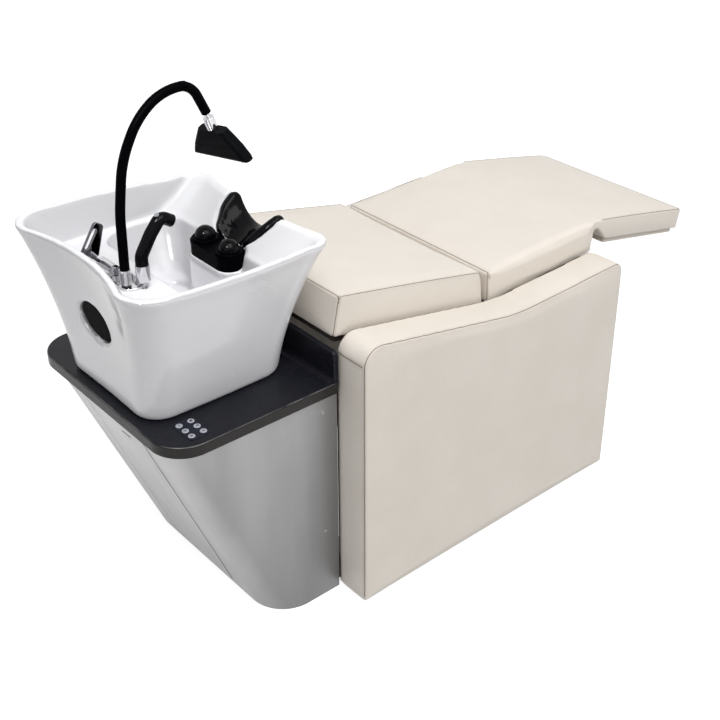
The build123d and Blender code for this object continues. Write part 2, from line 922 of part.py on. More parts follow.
def make_glide_feet():
    pads = []
    y = inner_half - tube / 2
    for x in (tube / 2 - rail_head_reach, post_head_setback + tube / 2, post_foot_setback + tube / 2):
        pad = post(x, y, 0, foot_pad_height, foot_pad_radius)
        pad = chamfer(pad.edges().group_by(Axis.Z)[0], foot_pad_edge)
        pads += both_sides(pad)
    return group(pads)


control_middle = cross_middle_setback + tube / 2 + control_box_offset


def make_control_box():
    x0 = control_middle - control_box_length / 2
    y1 = -control_box_inset
    top = upper_rail_height
    box = block(x0, x0 + control_box_length, y1 - control_box_width, y1, top - control_box_height, top)
    return fillet(box.edges().filter_by(Axis.Z), control_box_round)


def make_power_inlet():
    x = control_middle + control_box_length / 2
    y = -control_box_inset - control_box_width / 2
    z = upper_rail_height - control_box_height / 2
    half_y = inlet_length / 2
    half_z = inlet_width / 2
    inlet = block(x, x + inlet_depth, y - half_y, y + half_y, z - half_z, z + half_z)
    inner_y = inlet_length / 2 - inlet_wall
    inner_z = inlet_width / 2 - inlet_wall
    back = x + inlet_depth - inlet_socket_depth
    return inlet - block(back, x + overrun, y - inner_y, y + inner_y, z - inner_z, z + inner_z)


# Cabinet under the basin

def face_reach(z):
    lean = (cabinet_top_reach - cabinet_foot_reach) / cabinet_top
    return -cabinet_foot_reach - lean * z


def cabinet_outline(z, sheet):
    # Back edge open towards the bed; the two head-end corners are round.
    share = z / cabinet_top
    radius = cabinet_foot_radius + (cabinet_top_radius - cabinet_foot_radius) * share - sheet
    lean = (cabinet_top_reach - cabinet_foot_reach) / cabinet_top
    head = face_reach(z) + sheet * sqrt(1 + lean ** 2)
    half = cabinet_half_width - sheet
    back = -cabinet_gap + (overrun if sheet else 0)
    bend = radius * (1 - sqrt(2) / 2)
    edges = [
        Line((back, -half, z), (head + radius, -half, z)),
        ThreePointArc((head + radius, -half, z), (head + bend, bend - half, z), (head, radius - half, z)),
        Line((head, radius - half, z), (head, half - radius, z)),
        ThreePointArc((head, half - radius, z), (head + bend, half - bend, z), (head + radius, half, z)),
        Line((head + radius, half, z), (back, half, z)),
        Line((back, half, z), (back, -half, z)),
    ]
    return make_face(Wire(edges))


def face_slab(z0, z1, inner, outer, half):
    # A slab along the leaning face, from one depth to another, measured outwards.
    lean = (cabinet_top_reach - cabinet_foot_reach) / cabinet_top
    length = sqrt(1 + lean ** 2)
    points = []
    for z, depth in ((z0, inner), (z1, inner), (z1, outer), (z0, outer)):
        points.append((face_reach(z) - depth / length, z - depth * lean / length))
    return side_plate(points, -half, half)


def make_cabinet_wrap():
    # The rear strips that take the screws are flat plates, joined to the bent sheet.
    outer = loft([cabinet_outline(z, 0) for z in (cabinet_floor_gap, cabinet_top)], ruled=True)
    inner = loft([cabinet_outline(z, cabinet_sheet) for z in (-overrun, cabinet_top + overrun)], ruled=True)
    wrap = outer - inner
    wrap -= block(-side_strip_width, overrun, -overall_width, overall_width, -overrun, overall_width)
    low = service_low_height + service_overlap
    high = service_top_height - service_overlap
    wrap -= face_slab(low, high, -overrun, overrun, service_half_width - service_overlap)
    seam = face_slab(-overrun, cabinet_top + overrun, -sheet_seam_depth, overrun, sheet_seam_width / 2)
    wrap -= Pos(0, sheet_seam_offset, 0) * seam
    skin = cabinet_half_width - cabinet_sheet
    strip = block(-side_strip_width, -cabinet_gap, skin, cabinet_half_width, cabinet_floor_gap, cabinet_top)
    for z in (screw_low_height, screw_high_height):
        turned = Pos(-screw_setback, cabinet_half_width, z) * Rot(90, 0, 0)
        strip -= turned * Cylinder(screw_hole_radius, overrun)
    return wrap + strip + mirrored(strip)


def make_service_panel():
    outer = service_sheet + running_gap
    plate = face_slab(service_low_height, service_top_height, running_gap, outer, service_half_width)
    low = service_low_height + service_overlap + slack
    high = service_top_height - service_overlap - slack
    half = service_half_width - service_overlap - slack
    lip = face_slab(low, high, -service_lip, service_sheet / 2, half)
    inside = face_slab(
        low + service_sheet, high - service_sheet, -service_lip - overrun, slack, half - service_sheet
    )
    plate += lip - inside
    slot = face_slab(
        service_slot_height - service_slot_width / 2, service_slot_height + service_slot_width / 2,
        -overrun, overrun, (service_slot_near - service_slot_far) / 2
    )
    return plate - Pos(0, -(service_slot_near + service_slot_far) / 2, 0) * slot


def make_cabinet_back_board():
    half = cabinet_half_width - cabinet_sheet
    back = -cabinet_gap
    board = block(back - back_board_thickness, back, -half, half, low_rail_top, cabinet_top)
    batten = block(
        back - back_board_thickness - batten_depth, back - back_board_thickness,
        half - batten_width, half, low_rail_top, cabinet_top
    )
    board += batten + mirrored(batten)
    for z in (screw_low_height, screw_high_height):
        y = cabinet_half_width
        depth = screw_length - cabinet_sheet
        hole = round_bar((-screw_setback, half - depth, z), (-screw_setback, y, z), screw_shank_radius)
        board -= hole
        board -= mirrored(hole)
    outlet_start = (back - overrun - back_board_thickness, 0, trap_outlet_height)
    board -= round_bar(outlet_start, (back + overrun, 0, trap_outlet_height), tail_radius + slack)
    for y in (-valve_offset, valve_offset):
        z = valve_height + valve_body_height / 2
        start = (back - overrun - back_board_thickness, y, z)
        board -= round_bar(start, (back + overrun, y, z), valve_pipe_radius + slack)
    return board


def make_cabinet_screws():
    screws = []
    for z in (screw_low_height, screw_high_height):
        start = cabinet_half_width - screw_length
        head_start = cabinet_half_width + running_gap
        head_end = head_start + screw_head_height
        screw = round_bar((-screw_setback, start, z), (-screw_setback, head_start, z), screw_shank_radius)
        screw += round_bar((-screw_setback, head_start, z), (-screw_setback, head_end, z), screw_head_radius)
        screws += both_sides(screw)
    return group(screws)


# Tray and keypad

def rounded_block(x0, x1, y0, y1, z0, z1, radius):
    return fillet(block(x0, x1, y0, y1, z0, z1).edges().filter_by(Axis.Z), radius)


keypad_depth = keypad_body_depth - keypad_stand


def make_tray():
    back = -tray_back_gap
    tray = block(-tray_reach, back, -tray_half_width, tray_half_width, cabinet_top, tray_top_height)
    corners = tray.edges().filter_by(Axis.Z).group_by(Axis.X)[0]
    tray = fillet(corners, tray_corner_radius)
    rim = tray.edges().group_by(Axis.Z)[-1].filter_by(lambda edge: edge.center().X < back - slack)
    tray = fillet(rim, tray_edge_round)
    face = back - upstand_thickness
    stand_low = tray_top_height - tray_edge_round
    stand_top = tray_top_height + upstand_rise
    stand = block(face, back, -tray_half_width, tray_half_width, stand_low, stand_top)
    corners = stand.edges().filter_by(Axis.X).group_by(Axis.Z)[-1]
    stand = fillet(corners, upstand_corner_radius)
    front = stand.edges().group_by(Axis.X)[0].filter_by(lambda edge: edge.center().Z > stand_low)
    stand = fillet(front, upstand_edge_round)
    cove = side_plate(
        [
            (face - upstand_fillet, tray_top_height), (face, tray_top_height + upstand_fillet),
            (face, stand_low), (face - upstand_fillet, stand_low),
        ],
        tray_edge_round - tray_half_width, tray_half_width - tray_edge_round
    )
    axis_x = face - upstand_fillet
    axis_z = tray_top_height + upstand_fillet
    cove -= round_bar((axis_x, -tray_half_width, axis_z), (axis_x, tray_half_width, axis_z), upstand_fillet)
    tray += stand + cove
    x0 = -tray_hole_centre - tray_hole_length / 2
    y0 = tray_hole_width / 2
    tray -= block(x0, x0 + tray_hole_length, -y0, y0, cabinet_top - overrun, tray_top_height + overrun)
    half_x = keypad_length / 2 - keypad_flange + slack
    half_y = keypad_width / 2 - keypad_flange + slack
    pocket_low = tray_top_height - keypad_depth
    pocket_room = block(-half_x, half_x, -half_y, half_y, pocket_low, tray_top_height + overrun)
    return tray - Pos(-keypad_centre_x, -keypad_centre_y, 0) * pocket_room


def button_places():
    places = []
    for row in (-1, 0, 1):
        for column in (-1, 1):
            x = -keypad_centre_x + column * button_pitch_x / 2
            places.append((x, -keypad_centre_y + row * button_pitch_y))
    return places


def make_keypad_plate():
    low = tray_top_height - keypad_depth
    top = tray_top_height + keypad_stand
    half_x = keypad_length / 2
    half_y = keypad_width / 2
    plate = rounded_block(-half_x, half_x, -half_y, half_y, tray_top_height, top, keypad_corner)
    half_x -= keypad_flange
    half_y -= keypad_flange
    plate += rounded_block(-half_x, half_x, -half_y, half_y, low, tray_top_height, keypad_flange)
    plate = Pos(-keypad_centre_x, -keypad_centre_y, 0) * plate
    for x, y in button_places():
        plate -= round_bar((x, y, low + keypad_floor), (x, y, top + overrun), button_radius + button_gap)
        flange_top = top - keypad_cover
        plate -= round_bar((x, y, low + keypad_floor), (x, y, flange_top), button_flange_radius + button_gap)
    return plate


def make_button(place):
    x, y = place
    top = tray_top_height + keypad_stand
    flange_top = top - keypad_cover - running_gap
    cap = round_bar((x, y, flange_top), (x, y, top + button_stand), button_radius)
    cap = fillet(cap.edges().group_by(Axis.Z)[-1], button_edge_round)
    return cap + post(x, y, flange_top - button_flange_height, flange_top, button_flange_radius)


# Basin

corner_share = 1 - sqrt(2) / 2


def rounded_controls(head, bed, half, radius, bow):
    # Nine points of one half of a rounded outline, from its head end round to its bed end.
    turn = radius * corner_share
    return [
        (head + bow, 0),
        (head, half - radius),
        (head + turn, half - turn),
        (head + radius, half),
        ((head + bed) / 2, half + bow),
        (bed - radius, half),
        (bed - turn, half - turn),
        (bed, half - radius),
        (bed - bow, 0),
    ]


def rim_controls():
    head = -basin_foot_reach - rim_head_flare
    bed = basin_foot_length - basin_foot_reach + rim_bed_flare
    head_turn_y = rim_head_half_width - rim_head_shoulder
    bed_turn_y = rim_bed_half_width - rim_bed_shoulder
    return [
        (head + rim_head_hollow, 0),
        (head, rim_head_shoulder),
        (head + rim_head_turn * corner_share, rim_head_half_width - head_turn_y * corner_share),
        (head + rim_head_turn, rim_head_half_width),
        ((head + bed) / 2, rim_side_half_width),
        (bed - rim_bed_turn, rim_bed_half_width),
        (
            bed + rim_bed_corner_fill - rim_bed_turn * corner_share,
            rim_bed_half_width - bed_turn_y * corner_share + rim_bed_corner_fill,
        ),
        (bed, rim_bed_shoulder),
        (bed - rim_bed_hollow, 0),
    ]


inward_shares = [
    (1, 0), (1, -0.35), (0.72, -0.72), (0.35, -1), (0, -1), (-0.35, -1), (-0.72, -0.72), (-1, -0.35), (-1, 0),
]


def drawn_in(controls, inset):
    return [(x + inset * sx, y + inset * sy) for (x, y), (sx, sy) in zip(controls, inward_shares)]


def mix(first, last, head_share, bed_share, side_share):
    mixed = []
    count = len(first) - 1
    for k in range(count + 1):
        share = head_share + (bed_share - head_share) * max(0, min(1, (k - 2) / (count - 4)))
        x = first[k][0] + (last[k][0] - first[k][0]) * share
        y = first[k][1] + (last[k][1] - first[k][1]) * side_share
        mixed.append((x, y))
    return mixed


def ring(controls, height):
    # A closed outline of eight arcs, its height given as a rule of x.
    half = [(x, y, height(x)) for x, y in controls]
    other = [(x, -y, z) for x, y, z in half]
    edges = [
        ThreePointArc(other[1], half[0], half[1]),
        ThreePointArc(half[1], half[2], half[3]),
        ThreePointArc(half[3], half[4], half[5]),
        ThreePointArc(half[5], half[6], half[7]),
        ThreePointArc(half[7], half[8], other[7]),
        ThreePointArc(other[7], other[6], other[5]),
        ThreePointArc(other[5], other[4], other[3]),
        ThreePointArc(other[3], other[2], other[1]),
    ]
    return make_face(Wire(edges))


def level(z):
    return lambda x: z


basin_foot_bed = basin_foot_length - basin_foot_reach
basin_low = tray_top_height + basin_foot_edge
foot_controls = rounded_controls(
    -basin_foot_reach, basin_foot_bed, basin_foot_half_width, basin_foot_radius, basin_foot_bow
)


def rim_level(x):
    return basin_low + basin_height - rim_fall_share * (x + basin_foot_reach + rim_head_flare)


def body_level(share, drop):
    return lambda x: basin_low + (rim_level(x) - basin_low) * share - drop


def body_ring(share, inset, drop):
    controls = mix(foot_controls, rim_controls(), share ** head_flare_power, share ** bed_flare_power, share)
    return ring(drawn_in(controls, inset), body_level(share, drop))


def make_outer_body():
    edge = basin_foot_edge
    faces = [body_ring(0, edge * 0.7, edge), body_ring(0, edge * 0.25, edge * 0.65)]
    faces += [body_ring(share, 0, 0) for share in body_shares]
    faces += [body_ring(1, 0, lip_round), body_ring(1, lip_round * 0.3, lip_round * 0.3)]
    faces += [body_ring(1, lip_round, 0)]
    return loft(faces, ruled=True)


def make_cavity():
    # The upper part of the hollow, from the rim down to the ledge that carries the tap.
    top = drawn_in(rim_controls(), basin_lip)
    bottom = rounded_controls(
        -cavity_head_reach, -cavity_bed_reach, cavity_half_width, cavity_radius, basin_foot_bow
    )

    def section(share, inset, lift):
        controls = drawn_in(mix(bottom, top, share, share, share), inset)
        return ring(controls, lambda x: ledge_height + (rim_level(x) - ledge_height) * share + lift)

    faces = [
        section(0, well_edge_round * 0.6, 0), section(0.05, well_edge_round * 0.1, 0), section(0.12, 0, 0),
        section(0.94, 0, 0), section(0.985, -lip_round * 0.3, 0), section(1, -lip_round, 0),
        section(1, -lip_round, overrun),
    ]
    return loft(faces, ruled=True)


def make_well(growth):
    # The deep bowl, drawn in towards its floor.
    top_z = ledge_height + (overrun if growth == 0 else 0)
    floor_z = ledge_height - well_depth - growth
    top = rounded_controls(
        -well_head_reach, -cavity_bed_reach, well_half_width, cavity_radius, basin_foot_bow
    )
    floor = rounded_controls(
        -well_floor_head_reach, -well_floor_bed_reach,
        well_floor_half_width, well_floor_radius, basin_foot_bow,
    )
    faces = [
        ring(drawn_in(floor, well_edge_round - growth), level(floor_z)),
        ring(drawn_in(floor, well_edge_round * 0.3 - growth), level(floor_z + well_edge_round * 0.3)),
    ]
    for share in well_shares:
        spread = share ** well_bulge_share
        z = ledge_height - well_depth + well_edge_round + (well_depth - well_edge_round) * share
        faces.append(ring(drawn_in(mix(floor, top, spread, spread, spread), -growth), level(z)))
    faces.append(ring(drawn_in(top, -growth), level(top_z + overrun)))
    return loft(faces, ruled=True)


def make_underside():
    # The open hollow below the bowl, one wall thickness inside the outer body.
    faces = [body_ring(0, basin_wall, basin_foot_edge + overrun)]
    faces += [body_ring(share, basin_wall, 0) for share in body_shares]
    hollow = loft(faces, ruled=True)
    reach = basin_foot_reach + rim_head_flare + overrun
    half = rim_side_half_width + overrun
    low = tray_top_height - 2 * overrun
    hollow &= block(-reach, reach, -half, half, low, ledge_height - basin_wall)
    return hollow - make_well(basin_wall)


def make_grip_hole():
    x = -basin_foot_reach + basin_wall * 2
    plane = Plane(origin=(x, 0, tray_top_height + grip_hole_rise), x_dir=(0, 1, 0), z_dir=(-1, 0, 0))
    oval = plane * Ellipse(grip_hole_width / 2, grip_hole_height / 2)
    return extrude(oval, amount=rim_head_flare + basin_wall * 4)


def tap_screw_places():
    places = []
    for dx, dy in (tap_screw_outer, tap_screw_inner):
        places += [(-tap_reach - dx, dy), (-tap_reach - dx, -dy)]
    return places


def make_basin():
    body = make_outer_body()
    hollow = make_underside()
    basin = body - make_cavity() - make_well(0)
    basin -= hollow
    floor = ledge_height - well_depth - basin_wall
    column_radius = block_radius + block_pocket_gap + pedestal_wall
    column = slot_prism(-block_reach, block_half_spacing, column_radius, floor, block_seat_height)
    basin += column & body
    room = block_radius + block_pocket_gap
    basin -= slot_prism(-block_reach, block_half_spacing, room, block_seat_height, ledge_height)
    flange_room = block_flange_radius + block_pocket_gap
    flange_low = block_seat_height + block_height - slack
    room_top = ledge_height + ball_radius * 2
    basin -= slot_prism(-block_reach, block_half_spacing, flange_room, flange_low, room_top)
    dip_z = tray_top_height + neck_dip_rise
    basin -= round_bar((-cavity_bed_reach, 0, dip_z), (rim_bed_flare, 0, dip_z), neck_dip_radius)
    basin -= make_grip_hole()
    top = ledge_height + overrun
    low = ledge_height - basin_wall - overrun
    basin -= post(-holder_reach, -holder_offset, low, top, hose_hole_radius)
    x, y, z = supply_hose_path[0]
    for side in (-1, 1):
        basin -= round_bar((-x, side * y, low), (-x, side * y, top), supply_hose_hole_radius)
    for x, y in tap_screw_places():
        basin -= round_bar((x, y, low), (x, y, top), tap_screw_shank)
    drain_top = ledge_height - well_depth
    basin -= post(-drain_reach, 0, floor - overrun, drain_top + overrun, drain_radius)
    recess = drain_top - strainer_thickness
    basin -= post(-drain_reach, 0, recess, drain_top + overrun, strainer_radius + slack)
    return basin


def make_drain_strainer():
    top = ledge_height - well_depth
    x = -drain_reach
    strainer = round_bar((x, 0, top - strainer_thickness), (x, 0, top), strainer_radius)
    low = top - strainer_thickness - strainer_neck_length
    strainer += round_bar((x, 0, low), (x, 0, top - strainer_thickness), strainer_neck_radius)
    inner = strainer_neck_radius - cabinet_sheet
    strainer -= round_bar((x, 0, low - overrun), (x, 0, top - strainer_thickness), inner)
    holes = [(0, 0)]
    for k in range(strainer_hole_count):
        turn = 2 * pi * k / strainer_hole_count
        holes.append((strainer_ring_radius * cos(turn), strainer_ring_radius * sin(turn)))
    for dx, dy in holes:
        strainer -= round_bar((x + dx, dy, low), (x + dx, dy, top + overrun), strainer_hole_radius)
    return strainer


def make_waste_trap():
    x = -drain_reach
    neck_low = ledge_height - well_depth - strainer_thickness - strainer_neck_length
    nut_top = ledge_height - well_depth - basin_wall - waste_nut_gap
    nut = round_bar((x, 0, nut_top - waste_nut_height), (x, 0, nut_top), waste_nut_radius)
    nut -= round_bar((x, 0, neck_low), (x, 0, nut_top + overrun), strainer_neck_radius + running_gap)
    trap = round_bar((x, 0, trap_top_height), (x, 0, neck_low), tail_radius)
    trap += nut
    bottle = round_bar((x, 0, trap_bottom_height), (x, 0, trap_top_height), trap_radius)
    bottle = fillet(bottle.edges().group_by(Axis.Z)[0], trap_round)
    trap += bottle
    return trap + round_bar((x, 0, trap_outlet_height), (-cabinet_gap, 0, trap_outlet_height), tail_radius)


def make_stop_valves():
    valves = []
    board_face = -cabinet_gap - back_board_thickness
    x = -valve_reach
    y = valve_offset
    middle = valve_height + valve_body_height / 2
    valve = round_bar((x, y, valve_height), (x, y, valve_height + valve_body_height), valve_radius)
    valve += round_bar((x, y, middle), (-cabinet_gap, y, middle), valve_pipe_radius)
    plate_start = (board_face - valve_plate_thickness, y, middle)
    valve += round_bar(plate_start, (board_face, y, middle), valve_plate_radius)
    valve += round_bar((x - valve_radius - valve_knob_length, y, middle), (x, y, middle), valve_pipe_radius)
    knob_end = x - valve_radius - valve_knob_length
    knob_middle = (knob_end + valve_knob_length / 2, y, middle)
    valve += round_bar((knob_end, y, middle), knob_middle, valve_knob_radius)
    return group(both_sides(valve))


def make_supply_hoses():
    points = []
    for x, y, rise in supply_hose_path:
        points.append((-x, y, tray_top_height + rise))
    route = FilletPolyline(*points, radius=supply_hose_radii)
    section = Plane(origin=points[0], z_dir=route % 0) * Circle(supply_hose_radius)
    hose = sweep(section, path=route)
    return group(both_sides(hose))


# Ball block, massage balls and neck rest

def make_ball_block():
    low = block_seat_height
    top = low + block_height
    body = slot_prism(-block_reach, block_half_spacing, block_radius, low, top)
    body += slot_prism(-block_reach, block_half_spacing, block_flange_radius, top, top + block_flange_height)
    flange_top = top + block_flange_height
    for side in (-1, 1):
        y = side * block_half_spacing
        collar_top = flange_top + ball_collar_height
        collar = round_bar((-block_reach, y, top), (-block_reach, y, collar_top), ball_collar_radius)
        body += fillet(collar.edges().group_by(Axis.Z)[-1], ball_collar_round)
        body -= Pos(-block_reach, y, low + ball_rise) * Sphere(ball_radius + ball_gap)
    return body


def make_massage_ball(side):
    return Pos(-block_reach, side * block_half_spacing, block_seat_height + ball_rise) * Sphere(ball_radius)


def neck_rest_section(x, wing, saddle):
    centre_z = tray_top_height + neck_dip_rise
    outer = neck_dip_radius - neck_rest_seat_gap
    wing_z = tray_top_height + wing
    saddle_z = tray_top_height + saddle
    tip_y = sqrt(outer ** 2 - (centre_z - wing_z) ** 2)
    inner_y = tip_y - neck_rest_tip_width
    crest = (x, tip_y - neck_rest_tip_width / 2, wing_z + neck_rest_tip_width / 3)
    crest_other = (x, -crest[1], crest[2])
    edges = [
        ThreePointArc((x, -tip_y, wing_z), (x, 0, centre_z - outer), (x, tip_y, wing_z)),
        ThreePointArc((x, tip_y, wing_z), crest, (x, inner_y, wing_z)),
        ThreePointArc((x, inner_y, wing_z), (x, 0, saddle_z), (x, -inner_y, wing_z)),
        ThreePointArc((x, -inner_y, wing_z), crest_other, (x, -tip_y, wing_z)),
    ]
    return make_face(Wire(edges))


def make_neck_rest():
    rows = zip(neck_rest_stations, neck_rest_wing_rises, neck_rest_saddle_rises)
    return loft([neck_rest_section(x, wing, saddle) for x, wing, saddle in rows], ruled=True)


# Tap, spray arm and hand shower

plate_top = ledge_height + tap_plate_thickness
mixer_axis = plate_top + mixer_radius
mixer_x = -mixer_reach
hub_start = mixer_end + slack
hub_middle = hub_start + hub_length / 2


def make_tap_base_plate():
    plate = slot_prism(-tap_reach, tap_plate_half_spacing, tap_plate_radius, ledge_height, plate_top)
    plate = fillet(plate.edges().group_by(Axis.Z)[-1], tap_plate_round)
    top = plate_top + overrun
    low = ledge_height - overrun
    plate -= post(-holder_reach, -holder_offset, low, top, hose_hole_radius)
    for x, y in tap_screw_places():
        plate -= round_bar((x, y, low), (x, y, top), tap_screw_shank)
    return plate


def make_tap_screws():
    screws = []
    for x, y in tap_screw_places():
        screw = round_bar((x, y, plate_top), (x, y, plate_top + tap_screw_height), tap_screw_radius)
        screws.append(screw + post(x, y, plate_top - tap_screw_length, plate_top, tap_screw_shank))
    return group(screws)


def make_mixer_body():
    boss_top = plate_top + boss_height
    body = round_bar((mixer_x, mixer_start, mixer_axis), (mixer_x, mixer_end, mixer_axis), mixer_radius)
    body += round_bar((-arm_reach, 0, plate_top), (-arm_reach, 0, boss_top), boss_radius)
    body += block(mixer_x - mixer_radius / 2, -arm_reach, 0, mixer_start + mixer_radius, plate_top, boss_top)
    axle_room = (mixer_x, mixer_end - hub_axle_length - slack, mixer_axis)
    body -= round_bar(axle_room, (mixer_x, mixer_end + overrun, mixer_axis), hub_axle_radius + running_gap)
    spigot_low = boss_top - collar_spigot_length
    body -= post(-arm_reach, 0, spigot_low, boss_top + overrun, collar_spigot_radius + running_gap)
    return body


def tilted(shape):
    # Leans a shape drawn upright over the hub towards the head end.
    place = Pos(mixer_x, hub_middle, mixer_axis)
    return place * Rot(0, -lever_stem_lean, 0) * shape


def make_cartridge_hub():
    start = (mixer_x, hub_start, mixer_axis)
    end = (mixer_x, hub_start + hub_length, mixer_axis)
    hub = round_bar(start, end, hub_radius)
    hub = fillet(hub.edges().group_by(Axis.Y)[-1], hub_round)
    hub += round_bar((mixer_x, hub_start - hub_axle_length, mixer_axis), start, hub_axle_radius)
    room = lever_stem_radius + slack
    slot = block(-room, room, -room, hub_length, -room, hub_radius + overrun)
    hub -= tilted(slot)
    return hub + tilted(round_bar((-room - slack, 0, 0), (room + slack, 0, 0), lever_pin_radius))


def make_tap_lever():
    root = round_bar((-lever_stem_radius, 0, 0), (lever_stem_radius, 0, 0), lever_stem_radius)
    half = lever_stem_radius * 0.8
    stem = block(-half, half, -half, half, 0, lever_stem_length)
    bore = round_bar((-overrun, 0, 0), (overrun, 0, 0), lever_pin_radius + running_gap)
    lever = tilted(root + stem - bore)
    y = hub_middle - lever_blade_thickness / 2
    points = [(mixer_x + dx, y, mixer_axis + dz) for dx, dz in lever_blade_outline]
    outline = FilletPolyline(*points, radius=lever_blade_radius, close=True)
    blade = extrude(make_face(outline), amount=lever_blade_thickness, dir=far)
    blade = fillet(blade.edges().group_by(Axis.Y)[-1] + blade.edges().group_by(Axis.Y)[0], lever_blade_round)
    ends = [(mixer_x + dx, mixer_axis + dz) for dx, dz in lever_blade_slot]
    dx = ends[1][0] - ends[0][0]
    dz = ends[1][1] - ends[0][1]
    length = sqrt(dx ** 2 + dz ** 2)
    side = (-dz / length * lever_blade_slot_radius, dx / length * lever_blade_slot_radius)
    low = y - overrun
    high = y + overrun
    slot = side_plate([
        (ends[0][0] + side[0], ends[0][1] + side[1]), (ends[1][0] + side[0], ends[1][1] + side[1]),
        (ends[1][0] - side[0], ends[1][1] - side[1]), (ends[0][0] - side[0], ends[0][1] - side[1]),
    ], low, high)
    for x, z in ends:
        slot += round_bar((x, low, z), (x, high, z), lever_blade_slot_radius)
    return lever + (blade - slot)


def make_arm_collar():
    low = plate_top + boss_height + slack / 3
    collar = round_bar((-arm_reach, 0, low), (-arm_reach, 0, low + collar_height), collar_radius)
    spigot_low = plate_top + boss_height - collar_spigot_length + slack
    return collar + round_bar((-arm_reach, 0, spigot_low), (-arm_reach, 0, low), collar_spigot_radius)


spray_joint = (-spray_joint_reach, 0, tray_top_height + spray_joint_rise)


def spray_local(shape):
    # Shapes of the spray joint are drawn upside down at the origin, then leaned and put in place.
    return Pos(*spray_joint) * Rot(0, -spray_lean, 0) * shape


def make_spray_arm():
    start_z = plate_top + boss_height + slack / 3 + collar_height
    base = tray_top_height
    points = [(-arm_reach, 0, start_z)]
    for dx, rise in arm_path:
        points.append((dx - arm_reach, 0, base + rise + ledge_rise))
    points.append(spray_joint)
    route = FilletPolyline(*points, radius=arm_bend_radii)
    section = Plane(origin=points[0], z_dir=route % 0) * Circle(arm_radius)
    arm = sweep(section, path=route)
    end = Vector(*spray_joint)
    heading = (end - Vector(*points[-2])).normalized()
    tip = end + heading * spray_socket_tip
    arm += round_bar(tuple(end - heading * arm_radius), tuple(tip), arm_radius)
    reach = arm_reach + arm_radius + overrun
    arm -= block(-reach, -arm_reach + arm_radius + overrun, -overrun, overrun, start_z - overrun, start_z)
    return arm - Pos(*spray_joint) * Sphere(spray_ball_radius + ball_gap)


def make_spray_stem():
    start = -spray_collar_start
    end = start - spray_collar_length
    stem = Sphere(spray_ball_radius)
    stem += round_bar((0, 0, 0), (0, 0, start), spray_neck_radius)
    collar = round_bar((0, 0, start), (0, 0, end), spray_collar_radius)
    stem += fillet(collar.edges(), collar_edge_round)
    stem -= post(0, 0, end - overrun, end + spray_pivot_length, spray_pivot_radius + running_gap)
    return spray_local(stem)


def make_spray_head():
    top = -spray_collar_start - spray_collar_length - slack
    faces = []
    for width, depth, drop in zip(head_widths, head_depths, head_drops):
        outline = RectangleRounded(depth, width, head_corner_radius)
        faces.append(Pos(0, 0, top - drop) * outline)
    head = loft(faces, ruled=True)
    head += round_bar((0, 0, top), (0, 0, top + spray_pivot_length - slack), spray_pivot_radius)
    return spray_local(Rot(0, 0, head_twist) * head)


def make_shower_holder():
    x = -holder_reach
    y = -holder_offset
    low = ledge_height + holder_low_gap
    top = low + holder_height
    holder = round_bar((x, y, low), (x, y, top), holder_radius)
    bar_low = plate_top
    half = holder_bar_half_width
    bar = block(x - half, x + half, y, -boss_radius - slack, bar_low, bar_low + holder_bar_height)
    holder += bar
    holder -= round_bar((x, y, low + holder_floor), (x, y, top + overrun), holder_bore_radius)
    return holder - round_bar((x, y, low - overrun), (x, y, top), hose_hole_radius)


def handset_points():
    return [(dx - holder_reach, -holder_offset, tray_top_height + rise) for dx, rise in handset_path]


def handset_face_place():
    points = handset_points()
    end = Vector(*points[-1])
    return end, (end - Vector(*points[-2])).normalized()


def button_bar(start, end, radius):
    dx, rise = handset_button_place
    centre = Vector(dx - holder_reach, -holder_offset, tray_top_height + rise)
    lean = radians(handset_button_lean)
    heading = Vector(-sin(lean), 0, cos(lean))
    return round_bar(tuple(centre + heading * start), tuple(centre + heading * end), radius)


def make_hand_shower():
    points = handset_points()
    x, y, z = points[0]
    route = FilletPolyline(*points, radius=handset_bend_radii)
    section = Plane(origin=points[0], z_dir=route % 0) * Circle(handset_radius)
    handset = sweep(section, path=route)
    plug_low = ledge_height + holder_low_gap + holder_floor + slack
    handset += round_bar((x, y, plug_low), (x, y, z), handset_plug_radius)
    end, heading = handset_face_place()
    recess_start = tuple(end - heading * handset_face_depth)
    recess = round_bar(recess_start, tuple(end + heading * overrun), handset_face_radius)
    handset -= recess
    room_start = handset_button_start - handset_button_travel - slack
    room_radius = handset_button_radius + running_gap
    room = button_bar(room_start, handset_button_end + overrun, room_radius)
    return handset - room


def make_shower_face():
    end, heading = handset_face_place()
    face_start = tuple(end - heading * handset_face_depth)
    return round_bar(face_start, tuple(end + heading * face_stand), handset_face_radius - slack)


def make_shower_button():
    return button_bar(handset_button_start, handset_button_end, handset_button_radius)


def make_shower_hose():
    x = -holder_reach
    y = -holder_offset
    top = ledge_height + holder_low_gap + holder_floor + slack
    return round_bar((x, y, top - hose_length), (x, y, top), hose_radius)


# Every piece by its name

